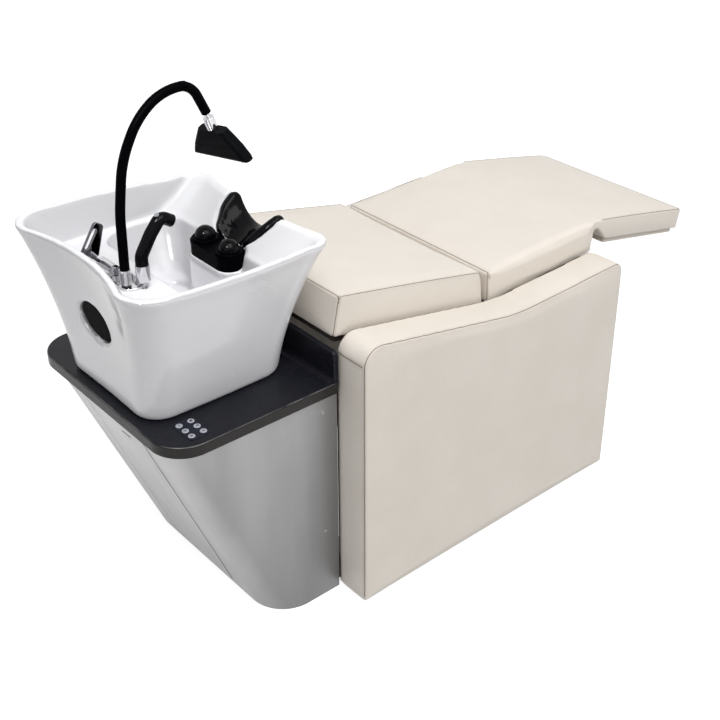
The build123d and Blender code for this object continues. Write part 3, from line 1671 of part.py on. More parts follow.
pieces = {
    "near_side_panel": make_panel(-1),
    "far_side_panel": make_panel(1),
    "panel_boards": make_panel_boards(),
    "base_rails": make_base_rails(),
    "upper_rails": make_upper_rails(),
    "lower_cross_tubes": make_lower_cross_tubes(),
    "upper_cross_tubes": make_upper_cross_tubes(),
    "frame_posts": make_frame_posts(),
    "glide_feet": make_glide_feet(),
    "seat_board": make_seat_board(),
    "seat_cushion": make_seat_cushion(),
    "fixed_hinge_arms": make_fixed_hinge_arms(),
    "hinge_pins": make_hinge_pins(),
    "back_actuator_body": make_back_actuator_body(),
    "leg_actuator_body": make_leg_actuator_body(),
    "control_box": make_control_box(),
    "power_inlet": make_power_inlet(),
    "cabinet_wrap": make_cabinet_wrap(),
    "cabinet_back_board": make_cabinet_back_board(),
    "cabinet_screws": make_cabinet_screws(),
    "service_panel": make_service_panel(),
    "tray": make_tray(),
    "keypad_plate": make_keypad_plate(),
    "stop_valves": make_stop_valves(),
    "waste_trap": make_waste_trap(),
    "supply_hoses": make_supply_hoses(),
    "basin": make_basin(),
    "drain_strainer": make_drain_strainer(),
    "neck_rest": make_neck_rest(),
    "ball_block": make_ball_block(),
    "near_massage_ball": make_massage_ball(-1),
    "far_massage_ball": make_massage_ball(1),
    "tap_base_plate": make_tap_base_plate(),
    "tap_screws": make_tap_screws(),
    "mixer_body": make_mixer_body(),
    "cartridge_hub": make_cartridge_hub(),
    "tap_lever": make_tap_lever(),
    "arm_collar": make_arm_collar(),
    "spray_arm": make_spray_arm(),
    "spray_stem": make_spray_stem(),
    "spray_head": make_spray_head(),
    "shower_holder": make_shower_holder(),
    "hand_shower": make_hand_shower(),
    "shower_face": make_shower_face(),
    "shower_button": make_shower_button(),
    "shower_hose": make_shower_hose(),
    "back_cushion": make_back_cushion(),
    "back_board": make_back_board(),
    "back_brackets": make_back_brackets(),
    "leg_cushion": make_leg_cushion(),
    "leg_board": make_leg_board(),
    "leg_brackets": make_leg_brackets(),
    "back_actuator_rod": make_back_actuator_rod(),
    "leg_actuator_rod": make_leg_actuator_rod(),
}
for place, button_name in zip(button_places(), button_names):
    pieces[button_name] = make_button(place)

# The origin goes under the middle of the finished part
low_x = min(shape.bounding_box().min.X for shape in pieces.values())
high_x = max(shape.bounding_box().max.X for shape in pieces.values())
shift = -(low_x + high_x) / 2

os.makedirs("parts", exist_ok=True)
for name, shape in pieces.items():
    export_step(Pos(shift, 0, 0) * shape, "parts/" + name + ".step")
print("shift", round(shift, 3), "pieces", len(pieces))
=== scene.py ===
import math

import bmesh
import bpy
from mathutils import Matrix, Vector, noise
from mathutils.bvhtree import BVHTree
from mathutils.kdtree import KDTree


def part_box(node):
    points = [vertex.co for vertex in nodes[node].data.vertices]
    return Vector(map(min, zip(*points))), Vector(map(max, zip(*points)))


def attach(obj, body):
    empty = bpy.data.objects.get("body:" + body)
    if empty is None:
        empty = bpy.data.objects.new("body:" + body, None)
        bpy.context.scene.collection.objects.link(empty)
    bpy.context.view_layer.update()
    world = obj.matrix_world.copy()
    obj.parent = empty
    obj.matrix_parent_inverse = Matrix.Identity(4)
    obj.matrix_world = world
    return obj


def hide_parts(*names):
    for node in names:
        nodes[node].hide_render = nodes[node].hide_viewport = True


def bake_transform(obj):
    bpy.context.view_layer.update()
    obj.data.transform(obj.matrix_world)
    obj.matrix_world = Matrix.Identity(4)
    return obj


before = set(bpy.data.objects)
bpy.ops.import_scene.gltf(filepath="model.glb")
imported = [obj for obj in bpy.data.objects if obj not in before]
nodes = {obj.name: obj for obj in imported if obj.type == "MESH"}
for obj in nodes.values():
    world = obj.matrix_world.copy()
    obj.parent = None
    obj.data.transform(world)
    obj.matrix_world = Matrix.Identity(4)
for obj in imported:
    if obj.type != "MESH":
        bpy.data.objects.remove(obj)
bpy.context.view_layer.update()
scene = bpy.context.scene
print("frame loaded,", len(nodes), "nodes")

mm = 0.001
originX = 426.717  # the drawing's x of the part's own origin


def drawn(x, y, z):
    return Vector(((x - originX) * mm, y * mm, z * mm))


# camera

cameraSettings = {
    "place": (-1.9315, -2.1799, 2.1716),
    "lens": 60.44,
    "sensor": 36.0,
    "pitch": 28.93,
    "yaw": 42.39,
    "roll": 0.98,
    "shift": (-0.0618, -0.08),
    "farthest": 100,
}


def makeCamera(s):
    pitch, yaw, roll = (math.radians(s[k]) for k in ("pitch", "yaw", "roll"))
    ahead = Vector((math.sin(yaw) * math.cos(pitch), math.cos(yaw) * math.cos(pitch), -math.sin(pitch)))
    level = Vector((math.cos(yaw), -math.sin(yaw), 0))
    above = level.cross(ahead)
    right = level * math.cos(roll) + above * math.sin(roll)
    up = above * math.cos(roll) - level * math.sin(roll)
    data = bpy.data.cameras.new("camera")
    data.lens = s["lens"]
    data.sensor_width = s["sensor"]
    data.sensor_fit = "HORIZONTAL"
    data.shift_x, data.shift_y = s["shift"]
    data.clip_end = s["farthest"]
    camera = bpy.data.objects.new("camera", data)
    scene.collection.objects.link(camera)
    turn = Matrix((right, up, -ahead)).transposed()
    camera.matrix_world = Matrix.Translation(s["place"]) @ turn.to_4x4()
    scene.camera = camera


makeCamera(cameraSettings)
print("camera set")


# hoses

hoseSettings = {
    "supply": {
        "route": [(-367, 15, 902.7), (-368, 16, 802), (-350, 30, 700), (-296, 55, 600),
                  (-226, 84, 500), (-140, 98, 454), (-82, 100, 402), (-82, 100, 346.2)],
        "radius": 6.5,
    },
    "shower": {
        "route": [(-346, -57, 923.3), (-346, -57, 850), (-346, -57, 760), (-346, -57, 693.3)],
        "radius": 5.5,
    },
    "sides": 20,
    "steps": 24,
}


def pathLength(points):
    return sum((b - a).length for a, b in zip(points, points[1:]))


def curveMesh(name, kind, points, radius, sides, steps=1):
    # a round tube along the points, and the line that it follows
    data = bpy.data.curves.new(name, "CURVE")
    data.dimensions = "3D"
    data.resolution_u = steps
    spline = data.splines.new(kind)
    spline.points.add(len(points) - 1)
    for point, place in zip(spline.points, points):
        point.co = (*place, 1)
    if kind == "NURBS":
        spline.order_u = 3
        spline.use_endpoint_u = True
    maker = bpy.data.objects.new(name, data)
    scene.collection.objects.link(maker)
    line = bpy.data.meshes.new_from_object(maker)
    path = [v.co.copy() for v in line.vertices]
    bpy.data.meshes.remove(line)
    data.bevel_depth = radius
    data.bevel_resolution = sides // 4
    data.use_fill_caps = True
    bpy.context.view_layer.update()
    tube = bpy.data.meshes.new_from_object(maker)
    bpy.data.objects.remove(maker)
    tube.shade_smooth()
    return tube, path


def hosePiece(name, route, radius, body, node):
    points = [drawn(*place) for place in route]
    sides, steps = hoseSettings["sides"], hoseSettings["steps"]
    tube, path = curveMesh(name, "NURBS", points, radius * mm, sides, steps)
    piece = bpy.data.objects.new(name, tube)
    scene.collection.objects.link(piece)
    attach(piece, body)
    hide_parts(node)
    return piece


supply = hoseSettings["supply"]
shower = hoseSettings["shower"]
mirroredRoute = [(x, -y, z) for x, y, z in supply["route"]]
hoses = [
    hosePiece("near_supply_hose", mirroredRoute, supply["radius"], "base", "supply_hoses"),
    hosePiece("far_supply_hose", supply["route"], supply["radius"], "base", "supply_hoses"),
    hosePiece("pull_out_hose", shower["route"], shower["radius"], "handset", "shower_hose"),
]
print("hoses made")


# shared effects

def newGroup(name, inputs, outputs):
    tree = bpy.data.node_groups.new(name, "ShaderNodeTree")
    for title, kind, value in inputs:
        socket = tree.interface.new_socket(title, in_out="INPUT", socket_type="NodeSocket" + kind)
        if value is not None:
            socket.default_value = value
    for title, kind in outputs:
        tree.interface.new_socket(title, in_out="OUTPUT", socket_type="NodeSocket" + kind)
    return tree, tree.nodes.new("NodeGroupInput").outputs, tree.nodes.new("NodeGroupOutput").inputs


def addNode(tree, kind, values=None, **settings):
    node = tree.nodes.new("ShaderNode" + kind)
    for key, value in settings.items():
        setattr(node, key, value)
    for key, value in (values or {}).items():
        feed(tree, value, node.inputs[key])
    return node


def wire(tree, source, target):
    tree.links.new(source, target)


def feed(tree, value, socket):
    if isinstance(value, bpy.types.NodeSocket):
        wire(tree, value, socket)
    elif value is not None:
        socket.default_value = value


def mathNode(tree, operation, first, second=None, clamp=False):
    node = addNode(tree, "Math", {0: first, 1: second}, operation=operation, use_clamp=clamp)
    return node.outputs[0]


def vectorNode(tree, operation, first, second):
    return addNode(tree, "VectorMath", {0: first, 1: second}, operation=operation).outputs[0]


def split(tree, vector):
    return addNode(tree, "SeparateXYZ", {0: vector}).outputs


def facing(tree):
    return split(tree, addNode(tree, "NewGeometry").outputs["Normal"])


def noiseNode(tree, vector, scale, detail=2.0, **values):
    values = {"Vector": vector, "Scale": scale, "Detail": detail, **values}
    return addNode(tree, "TexNoise", values).outputs["Fac"]


def mapRange(tree, value, span, result=(0.0, 1.0), kind="LINEAR"):
    values = {"Value": value, "From Min": span[0], "From Max": span[1], "To Min": result[0],
              "To Max": result[1]}
    return addNode(tree, "MapRange", values, interpolation_type=kind).outputs["Result"]


def mixColour(tree, mask, first, second, kind="MIX"):
    values = {"Factor": mask, 6: first, 7: second}
    return addNode(tree, "Mix", values, data_type="RGBA", blend_type=kind).outputs[2]


effectSettings = {
    "warpScale": 260.0,
    "warpShift": 0.0012,
    "ridgeWidth": 0.22,
    "mottleRoughness": 0.55,
    "bevelSamples": 6,
    "edgeTurn": (0.02, 0.22),
    "wornPatches": (0.35, 0.65),
    "smears": (0.35, 0.7),
    "smearRoughness": 0.6,
    "smearDistortion": 0.8,
}


def makeGrain(s):
    tree, start, end = newGroup(
        "hideGrain",
        [("Vector", "Vector", None), ("Scale", "Float", 700.0), ("Depth", "Float", 1.0)],
        [("Height", "Float"), ("Mask", "Float")],
    )
    warp = addNode(tree, "TexNoise", {"Vector": start["Vector"], "Scale": s["warpScale"]})
    shift = addNode(tree, "VectorMath", {0: warp.outputs["Color"], "Scale": s["warpShift"]},
                    operation="SCALE")
    place = vectorNode(tree, "ADD", start["Vector"], shift.outputs[0])
    cells = addNode(tree, "TexVoronoi", {"Vector": place, "Scale": start["Scale"]},
                    feature="DISTANCE_TO_EDGE")
    mask = mapRange(tree, cells.outputs["Distance"], (0.0, s["ridgeWidth"]), kind="SMOOTHSTEP")
    wire(tree, mathNode(tree, "MULTIPLY", mask, start["Depth"]), end["Height"])
    wire(tree, mask, end["Mask"])
    return tree


def makeMottle(s):
    tree, start, end = newGroup(
        "softMottle",
        [("Vector", "Vector", None), ("Light", "Color", (1, 1, 1, 1)), ("Dark", "Color", (0.8, 0.8, 0.8, 1)),
         ("Scale", "Float", 6.0), ("Contrast", "Float", 1.0)],
        [("Color", "Color"), ("Mask", "Float")],
    )
    wide = noiseNode(tree, start["Vector"], start["Scale"], 4.0, Roughness=s["mottleRoughness"])
    spread = mathNode(tree, "SUBTRACT", wide, 0.5)
    spread = mathNode(tree, "MULTIPLY", spread, start["Contrast"])
    mask = mathNode(tree, "ADD", spread, 0.5, clamp=True)
    wire(tree, mixColour(tree, mask, start["Dark"], start["Light"]), end["Color"])
    wire(tree, mask, end["Mask"])
    return tree


def makeWear(s):
    tree, start, end = newGroup(
        "edgeWear",
        [("Vector", "Vector", None), ("Radius", "Float", 0.0012), ("Patches", "Float", 60.0),
         ("Amount", "Float", 1.0)],
        [("Mask", "Float")],
    )
    soft = addNode(tree, "Bevel", {"Radius": start["Radius"]}, samples=s["bevelSamples"]).outputs["Normal"]
    flat = addNode(tree, "NewGeometry").outputs["Normal"]
    meet = addNode(tree, "VectorMath", {0: soft, 1: flat}, operation="DOT_PRODUCT").outputs["Value"]
    turned = mathNode(tree, "SUBTRACT", 1.0, meet)
    edge = mapRange(tree, turned, s["edgeTurn"], kind="SMOOTHSTEP")
    patches = noiseNode(tree, start["Vector"], start["Patches"], 3.0)
    worn = mathNode(tree, "MULTIPLY", edge, mapRange(tree, patches, s["wornPatches"]))
    wire(tree, mathNode(tree, "MULTIPLY", worn, start["Amount"], clamp=True), end["Mask"])
    return tree


def makeSmudge(s):
    tree, start, end = newGroup(
        "handledSheen",
        [("Vector", "Vector", None), ("Scale", "Float", 9.0), ("Smooth", "Float", 0.1),
         ("Rough", "Float", 0.3)],
        [("Roughness", "Float")],
    )
    smears = noiseNode(tree, start["Vector"], start["Scale"], 5.0, Roughness=s["smearRoughness"],
                       Distortion=s["smearDistortion"])
    wire(tree, mapRange(tree, smears, s["smears"], (start["Smooth"], start["Rough"])), end["Roughness"])
    return tree


def makeBrush():
    tree, start, end = newGroup(
        "brushedLines",
        [("Vector", "Vector", None), ("Stretch", "Vector", (1.0, 1.0, 0.02)), ("Scale", "Float", 900.0)],
        [("Height", "Float")],
    )
    pulled = vectorNode(tree, "MULTIPLY", start["Vector"], start["Stretch"])
    wire(tree, noiseNode(tree, pulled, start["Scale"], 3.0), end["Height"])
    return tree


groups = {
    "grain": makeGrain(effectSettings),
    "mottle": makeMottle(effectSettings),
    "wear": makeWear(effectSettings),
    "smudge": makeSmudge(effectSettings),
    "brush": makeBrush(),
}
print("shared effects made")


# materials

def newMaterial(name, **values):
    material = bpy.data.materials.new(name)
    material.use_nodes = True
    tree = material.node_tree
    shader = tree.nodes["Principled BSDF"]
    for key, value in values.items():
        shader.inputs[key.replace("_", " ")].default_value = value
    place = addNode(tree, "TexCoord").outputs["Object"]
    return material, tree, shader, place


def placeGroup(tree, key, vector, values):
    node = tree.nodes.new("ShaderNodeGroup")
    node.node_tree = groups[key]
    wire(tree, vector, node.inputs["Vector"])
    for name, value in values.items():
        node.inputs[name].default_value = value
    return node.outputs


def addBump(tree, shader, height, distance, strength=1.0, normal=None):
    values = {"Distance": distance, "Strength": strength, "Height": height, "Normal": normal}
    bump = addNode(tree, "Bump", values).outputs["Normal"]
    if shader is not None:
        wire(tree, bump, shader.inputs["Normal"])
    return bump


def mottled(tree, place, s):
    values = {"Light": s["light"], "Dark": s["dark"], "Scale": s["cloudScale"], "Contrast": s["contrast"]}
    return placeGroup(tree, "mottle", place, values)["Color"]


def worn(tree, place, colour, s):
    # the edges are rubbed down to the bare colour
    values = {"Radius": s["wearRadius"], "Patches": s["wearPatches"], "Amount": s["wear"]}
    return mixColour(tree, placeGroup(tree, "wear", place, values)["Mask"], colour, s["bare"])


def addSheen(tree, shader, place, s):
    values = {"Scale": s["smearScale"], "Smooth": s["smooth"], "Rough": s["rough"]}
    wire(tree, placeGroup(tree, "smudge", place, values)["Roughness"], shader.inputs["Roughness"])


def addFineGrain(tree, shader, place, s):
    fine = noiseNode(tree, place, s["fineScale"], s["fineDetail"])
    addBump(tree, shader, fine, s["fineDepth"], s["fineStrength"])


creamSettings = {
    "light": (0.86, 0.80, 0.725, 1),
    "dark": (0.80, 0.735, 0.655, 1),
    "cloudScale": 7.0,
    "contrast": 1.5,
    "grainScale": 620.0,
    "grainDepth": 0.00016,
    "valleyShade": 0.90,
    "smearScale": 5.0,
    "smooth": 0.42,
    "rough": 0.56,
    # painted shade: the colour that darkens the cloth beside a seam
    "seamShadeColour": (0.50, 0.43, 0.36, 1),
    "seamShade": 0.55,
    "puckerScale": 55.0,
    "puckerHeight": 5.0,
    "dustCloth": (0.018, 0.017, 0.017, 1),
    "clothTurn": (-0.6, -0.8),
}


def makeCream(s):
    material, tree, shader, place = newMaterial(
        "creamLeatherette", Sheen_Weight=0.12, Sheen_Roughness=0.5, Specular_IOR_Level=0.42)
    grain = placeGroup(tree, "grain", place, {"Scale": s["grainScale"], "Depth": 1.0})
    # the valleys of the grain hold a little more shade
    valley = mapRange(tree, grain["Mask"], (0.0, 1.0), (s["valleyShade"], 1.0))
    shade = mixColour(tree, 1.0, mottled(tree, place, s), valley, "MULTIPLY")
    # painted shade darkens the cloth beside a seam, and the cloth there is also puckered
    seam = addNode(tree, "Attribute", attribute_name="seamNear").outputs["Fac"]
    seamShaded = mixColour(tree, mathNode(tree, "MULTIPLY", seam, s["seamShade"]), shade, s["seamShadeColour"])
    wire(tree, seamShaded, shader.inputs["Base Color"])
    addSheen(tree, shader, place, s)
    pucker = mathNode(tree, "MULTIPLY", noiseNode(tree, place, s["puckerScale"]), seam)
    pucker = mathNode(tree, "MULTIPLY", pucker, s["puckerHeight"])
    addBump(tree, shader, mathNode(tree, "ADD", grain["Height"], pucker), s["grainDepth"])
    return material


def makeWrap(s):
    # the cover is pulled round the board and closed below with a black cloth
    material, tree, shader, place = newMaterial("wrappedBoard", Roughness=0.6, Specular_IOR_Level=0.3)
    below = mapRange(tree, facing(tree)["Z"], s["clothTurn"])
    wire(tree, mixColour(tree, below, mottled(tree, place, s), s["dustCloth"]), shader.inputs["Base Color"])
    grain = placeGroup(tree, "grain", place, {"Scale": s["grainScale"], "Depth": 1.0})
    addBump(tree, shader, grain["Height"], s["grainDepth"])
    return material


yarnSettings = {
    "seamThread": {"light": (0.23, 0.19, 0.15, 1), "dark": (0.12, 0.095, 0.075, 1), "cloudScale": 90.0,
                   "contrast": 2.0, "twist": 400.0, "twistDepth": 0.0002, "roughness": 0.75, "level": 0.2},
    "topStitch": {"light": (0.74, 0.66, 0.56, 1), "dark": (0.55, 0.47, 0.38, 1), "cloudScale": 120.0,
                  "contrast": 2.0, "twist": 500.0, "twistDepth": 0.0002, "roughness": 0.6, "level": 0.5},
}


def makeYarn(name, s):
    material, tree, shader, place = newMaterial(
        name, Roughness=s["roughness"], Specular_IOR_Level=s["level"])
    twist = addNode(tree, "TexWave", {"Vector": place, "Scale": s["twist"], "Distortion": 1.0})
    wire(tree, mottled(tree, place, s), shader.inputs["Base Color"])
    addBump(tree, shader, twist.outputs["Fac"], s["twistDepth"])
    return material


glazeSettings = {
    "light": (0.90, 0.90, 0.925, 1),
    "dark": (0.87, 0.87, 0.895, 1),
    "cloudScale": 4.0,
    "contrast": 1.4,
    # painted shade: how far the inner walls and the bore of the grip hole are darkened
    "inside": 0.70,
    "insideRise": (0.0, 0.07),
    "insideLie": (0.85, 0.60),
    "bore": 0.50,
    "boreHeight": 0.822,
    "boreHalfSizes": (0.0668, 0.0473),
    "boreStart": -0.80,
    "smearScale": 6.0,
    "smooth": 0.16,
    "rough": 0.30,
    "waveScale": 13.0,
    "waveDepth": 0.0016,
    "pitScale": 240.0,
    "pitDepth": 0.00006,
    "strength": 0.6,
}


def makeGlaze(s):
    material, tree, shader, place = newMaterial(
        "whiteGlaze", Coat_Weight=0.35, Coat_Roughness=0.08, Specular_IOR_Level=0.3)
    # painted shade darkens the bowl's inner walls, and a deeper painted shade darkens the bore of the grip
    # hole
    rise = facing(tree)["Z"]
    inner = mathNode(tree, "MULTIPLY", mapRange(tree, rise, s["insideRise"]),
                     mapRange(tree, rise, s["insideLie"]))
    wallShade = mapRange(tree, inner, (0.0, 1.0), (1.0, s["inside"]))
    spot = split(tree, place)
    apart = mathNode(tree, "SUBTRACT", spot["Z"], s["boreHeight"])
    wide, tall = [mathNode(tree, "POWER", mathNode(tree, "DIVIDE", offset, half), 2.0)
                  for offset, half in zip((spot["Y"], apart), s["boreHalfSizes"])]
    within = mathNode(tree, "LESS_THAN", mathNode(tree, "ADD", wide, tall), 1.0)
    within = mathNode(tree, "MULTIPLY", within, mathNode(tree, "LESS_THAN", spot["X"], s["boreStart"]))
    # the painted shade in the bore of the grip hole
    bare = mapRange(tree, within, (0.0, 1.0), (1.0, s["bore"]))
    shade = mathNode(tree, "MULTIPLY", wallShade, bare)
    toned = mixColour(tree, 1.0, mottled(tree, place, s), shade, "MULTIPLY")
    wire(tree, toned, shader.inputs["Base Color"])
    addSheen(tree, shader, place, s)
    fine = addBump(tree, None, noiseNode(tree, place, s["pitScale"]), s["pitDepth"], s["strength"])
    wave = noiseNode(tree, place, s["waveScale"])
    addBump(tree, shader, wave, s["waveDepth"], s["strength"], fine)
    return material


traySettings = {
    "light": (0.0125, 0.013, 0.0175, 1),
    "dark": (0.0075, 0.008, 0.0115, 1),
    "cloudScale": 18.0,
    "contrast": 2.0,
    # painted reflection on the upright edge of the board
    "litFlank": (0.028, 0.026, 0.025, 1),
    "flankSlope": (0.25, 0.05),
    # painted highlight along the rounded lip, broken into patches
    "lip": (0.13, 0.125, 0.12, 1),
    "lipSlope": 0.62,
    "lipSpan": (0.26, 0.10),
    "highlightPatchScale": 22.0,
    "highlightPatches": (0.30, 0.62),
    "top": 0.6325,
    "smearScale": 7.0,
    "smooth": 0.22,
    "rough": 0.38,
    "fineScale": 900.0,
    "fineDetail": 2.0,
    "fineDepth": 0.00012,
    "fineStrength": 0.8,
}


def makeTrayFinish(s):
    material, tree, shader, place = newMaterial("graphiteTray", Specular_IOR_Level=0.15)
    # painted reflection makes the board's upright edge a browner grey than its face, and a painted highlight
    # runs along its rounded lip, in patches
    slope = mathNode(tree, "ABSOLUTE", facing(tree)["Z"])
    below = mathNode(tree, "LESS_THAN", split(tree, place)["Z"], s["top"])
    upright = mathNode(tree, "MULTIPLY", mapRange(tree, slope, s["flankSlope"]), below)
    edge = mixColour(tree, upright, mottled(tree, place, s), s["litFlank"])
    apart = mathNode(tree, "ABSOLUTE", mathNode(tree, "SUBTRACT", slope, s["lipSlope"]))
    highlightPatches = mapRange(tree, noiseNode(tree, place, s["highlightPatchScale"], 3.0), s["highlightPatches"])
    lipGlint = mathNode(tree, "MULTIPLY", mapRange(tree, apart, s["lipSpan"]), highlightPatches)
    lipGlint = mathNode(tree, "MULTIPLY", lipGlint, below)
    wire(tree, mixColour(tree, lipGlint, edge, s["lip"]), shader.inputs["Base Color"])
    addSheen(tree, shader, place, s)
    addFineGrain(tree, shader, place, s)
    return material


cabinetSettings = {
    # painted light: the sloping end face is lit lighter than the shaded sides
    "side": (0.335, 0.335, 0.34, 1),
    "front": (0.455, 0.445, 0.445, 1),
    "frontTurn": (-0.5, -0.92),
    # painted shade towards the floor, and painted reflection in soft upright bands
    "floorShade": 0.60,
    "height": 0.6,
    "bandStretch": (1.0, 1.0, 0.12),
    "bandScale": 9.0,
    "bandSpan": (0.3, 0.7),
    "bandShade": (0.90, 1.08),
    "bare": (0.72, 0.72, 0.73, 1),
    "wearRadius": 0.001,
    "wearPatches": 40.0,
    "wear": 0.4,
    "smearScale": 4.0,
    "smooth": 0.34,
    "rough": 0.46,
    "lineStretch": (1.0, 1.0, 0.015),
    "lineScale": 900.0,
    "lineDepth": 0.00005,
    "lineStrength": 0.5,
}


def makePanelSteel(s):
    material, tree, shader, place = newMaterial("silverPanel", Metallic=0.85, Specular_IOR_Level=0.4)
    # painted light on the face that leans towards the head end
    front = mapRange(tree, facing(tree)["X"], s["frontTurn"], kind="SMOOTHSTEP")
    base = mixColour(tree, front, s["side"], s["front"])
    # painted shade darkens the sheet towards the floor, and painted reflection lies on it in soft upright
    # bands
    shadeTowardsFloor = mapRange(tree, split(tree, place)["Z"], (0.0, s["height"]), (s["floorShade"], 1.0))
    bands = placeGroup(tree, "brush", place, {"Stretch": s["bandStretch"], "Scale": s["bandScale"]})
    shade = mathNode(tree, "MULTIPLY", shadeTowardsFloor, mapRange(tree, bands["Height"], s["bandSpan"], s["bandShade"]))
    toned = mixColour(tree, 1.0, base, shade, "MULTIPLY")
    wire(tree, worn(tree, place, toned, s), shader.inputs["Base Color"])
    addSheen(tree, shader, place, s)
    lines = placeGroup(tree, "brush", place, {"Stretch": s["lineStretch"], "Scale": s["lineScale"]})
    addBump(tree, shader, lines["Height"], s["lineDepth"], s["lineStrength"])
    return material


def makePlain(name, s):
    # a mottled colour, worn edges, handled sheen and a fine bump: most of the hard pieces
    material, tree, shader, place = newMaterial(
        name, Metallic=s["metallic"], Specular_IOR_Level=s["level"])
    wire(tree, worn(tree, place, mottled(tree, place, s), s), shader.inputs["Base Color"])
    addSheen(tree, shader, place, s)
    addFineGrain(tree, shader, place, s)
    return material


boardSettings = {
    "stretch": (2.0, 26.0, 26.0),
    "ringScale": 3.0,
    "ringTwist": 1.2,
    "dark": (0.016, 0.013, 0.011, 1),
    "light": (0.042, 0.034, 0.027, 1),
    "ringDepth": 0.0004,
    "ringStrength": 0.6,
}


def makeBoardWood(s):
    material, tree, shader, place = newMaterial("stainedBoard", Roughness=0.75, Specular_IOR_Level=0.2)
    pulled = addNode(tree, "Mapping", {"Vector": place, "Scale": s["stretch"]}).outputs["Vector"]
    rings = noiseNode(tree, pulled, s["ringScale"], 6.0, Distortion=s["ringTwist"])
    wire(tree, mixColour(tree, rings, s["dark"], s["light"]), shader.inputs["Base Color"])
    addBump(tree, shader, rings, s["ringDepth"], s["ringStrength"])
    return material


braidSettings = {
    "turns": 12.0,
    "along": 260.0,
    "gap": (0.10, 0.10, 0.105, 1),
    "strand": (0.66, 0.66, 0.67, 1),
    "smearScale": 40.0,
    "smooth": 0.22,
    "rough": 0.4,
    "depth": 0.0004,
    "strength": 0.8,
}


def makeBraid(s):
    material, tree, shader, place = newMaterial("steelBraid", Metallic=0.9)
    around = split(tree, addNode(tree, "UVMap", uv_map="UVMap").outputs["UV"])
    turns = mathNode(tree, "MULTIPLY", around["X"], s["turns"])
    heights = []
    for lay in (s["along"], -s["along"]):
        sweep = mathNode(tree, "ADD", turns, mathNode(tree, "MULTIPLY", around["Y"], lay))
        wave = mathNode(tree, "SINE", mathNode(tree, "MULTIPLY", sweep, math.tau))
        heights.append(mathNode(tree, "ABSOLUTE", wave))
    strands = mathNode(tree, "MAXIMUM", *heights)
    wire(tree, mixColour(tree, strands, s["gap"], s["strand"]), shader.inputs["Base Color"])
    addSheen(tree, shader, place, s)
    addBump(tree, shader, strands, s["depth"], s["strength"])
    return material


def grey(level, blue=0.0):
    return (level, level, level + blue, 1)


plainSettings = {
    "metallic": 0.0, "level": 0.5, "contrast": 1.8, "cloudScale": 30.0, "smearScale": 22.0,
    "wearRadius": 0.001, "wearPatches": 70.0, "wear": 0.4,
    "fineDetail": 3.0, "fineStrength": 0.8, "fineScale": 300.0, "fineDepth": 0.0001,
}
paintedSettings = {
    **plainSettings, "cloudScale": 12.0, "smearScale": 16.0, "wearRadius": 0.0014, "wearPatches": 45.0,
    "wear": 0.8, "fineScale": 420.0, "fineDetail": 2.0, "fineStrength": 0.7,
}
chromeSettings = {
    **plainSettings, "metallic": 1.0, "contrast": 1.5, "cloudScale": 25.0, "smearScale": 30.0,
    "smooth": 0.05, "rough": 0.15, "wearRadius": 0.0012, "wearPatches": 80.0, "wear": 0.35,
    "bare": (0.85, 0.85, 0.86, 1), "fineScale": 160.0, "fineDetail": 2.0, "fineStrength": 0.5,
    "fineDepth": 0.00004,
}
plainFinishes = {
    "framePaint": {
        **paintedSettings, "light": grey(0.026, 0.003), "dark": grey(0.016, 0.002),
        "bare": (0.24, 0.23, 0.22, 1), "smooth": 0.34, "rough": 0.5},
    "hingeSteel": {
        **paintedSettings, "light": grey(0.56, 0.01), "dark": grey(0.44, 0.01), "bare": grey(0.75),
        "metallic": 0.95, "smooth": 0.22, "rough": 0.42},
    "darkPlastic": {
        **plainSettings, "light": grey(0.020, 0.002), "dark": grey(0.013, 0.001), "bare": grey(0.07),
        "smooth": 0.42, "rough": 0.58, "fineScale": 700.0, "fineDepth": 0.0002, "level": 0.25},
    "polishedChrome": {**chromeSettings, "light": grey(0.74, 0.015), "dark": grey(0.58, 0.02)},
    # chrome painted dark, standing in for the dark reflections the lever shows
    "chromeDarkReflection": {**chromeSettings, "light": grey(0.20, 0.015), "dark": grey(0.10, 0.015)},
    "blackRubber": {
        **plainSettings, "light": grey(0.0016, 0.001), "dark": grey(0.0008, 0.0006), "bare": grey(0.006),
        "smooth": 0.30, "rough": 0.46, "fineScale": 500.0, "fineDepth": 0.0002, "level": 0.012,
        "wear": 0.1},
    "blackGloss": {
        **plainSettings, "light": grey(0.0024, 0.001), "dark": grey(0.0012, 0.0008),
        "bare": grey(0.008, 0.001), "smooth": 0.09, "rough": 0.2, "fineDepth": 0.00005, "level": 0.09,
        "wear": 0.2},
    "sprayShell": {
        **plainSettings, "light": (0.0032, 0.0036, 0.0046, 1), "dark": (0.002, 0.0022, 0.003, 1),
        "bare": grey(0.012, 0.001), "smooth": 0.36, "rough": 0.5, "fineScale": 420.0,
        "fineDepth": 0.00022, "level": 0.03, "wear": 0.2},
    "keypadGlass": {
        **plainSettings, "light": (0.006, 0.008, 0.019, 1), "dark": (0.004, 0.005, 0.013, 1),
        "bare": grey(0.03, 0.01), "smooth": 0.12, "rough": 0.24, "fineDepth": 0.00004, "level": 0.3,
        "wear": 0.2},
    "markInk": {
        **plainSettings, "light": (0.030, 0.036, 0.075, 1), "dark": (0.018, 0.022, 0.05, 1),
        "bare": grey(0.05, 0.03), "smooth": 0.4, "rough": 0.55, "fineScale": 800.0, "level": 0.3},
    "greyButton": {
        **plainSettings, "light": (0.40, 0.41, 0.45, 1), "dark": (0.33, 0.34, 0.38, 1),
        "bare": grey(0.55, 0.03), "smooth": 0.35, "rough": 0.5, "fineScale": 900.0},
    "whitePlastic": {
        **plainSettings, "light": grey(0.72, -0.01), "dark": grey(0.64, -0.02), "bare": grey(0.80, -0.02),
        "smooth": 0.30, "rough": 0.46, "fineScale": 500.0},
}
plain = {name: makePlain(name, s) for name, s in plainFinishes.items()}
thread, stitchYarn = [makeYarn(name, s) for name, s in yarnSettings.items()]
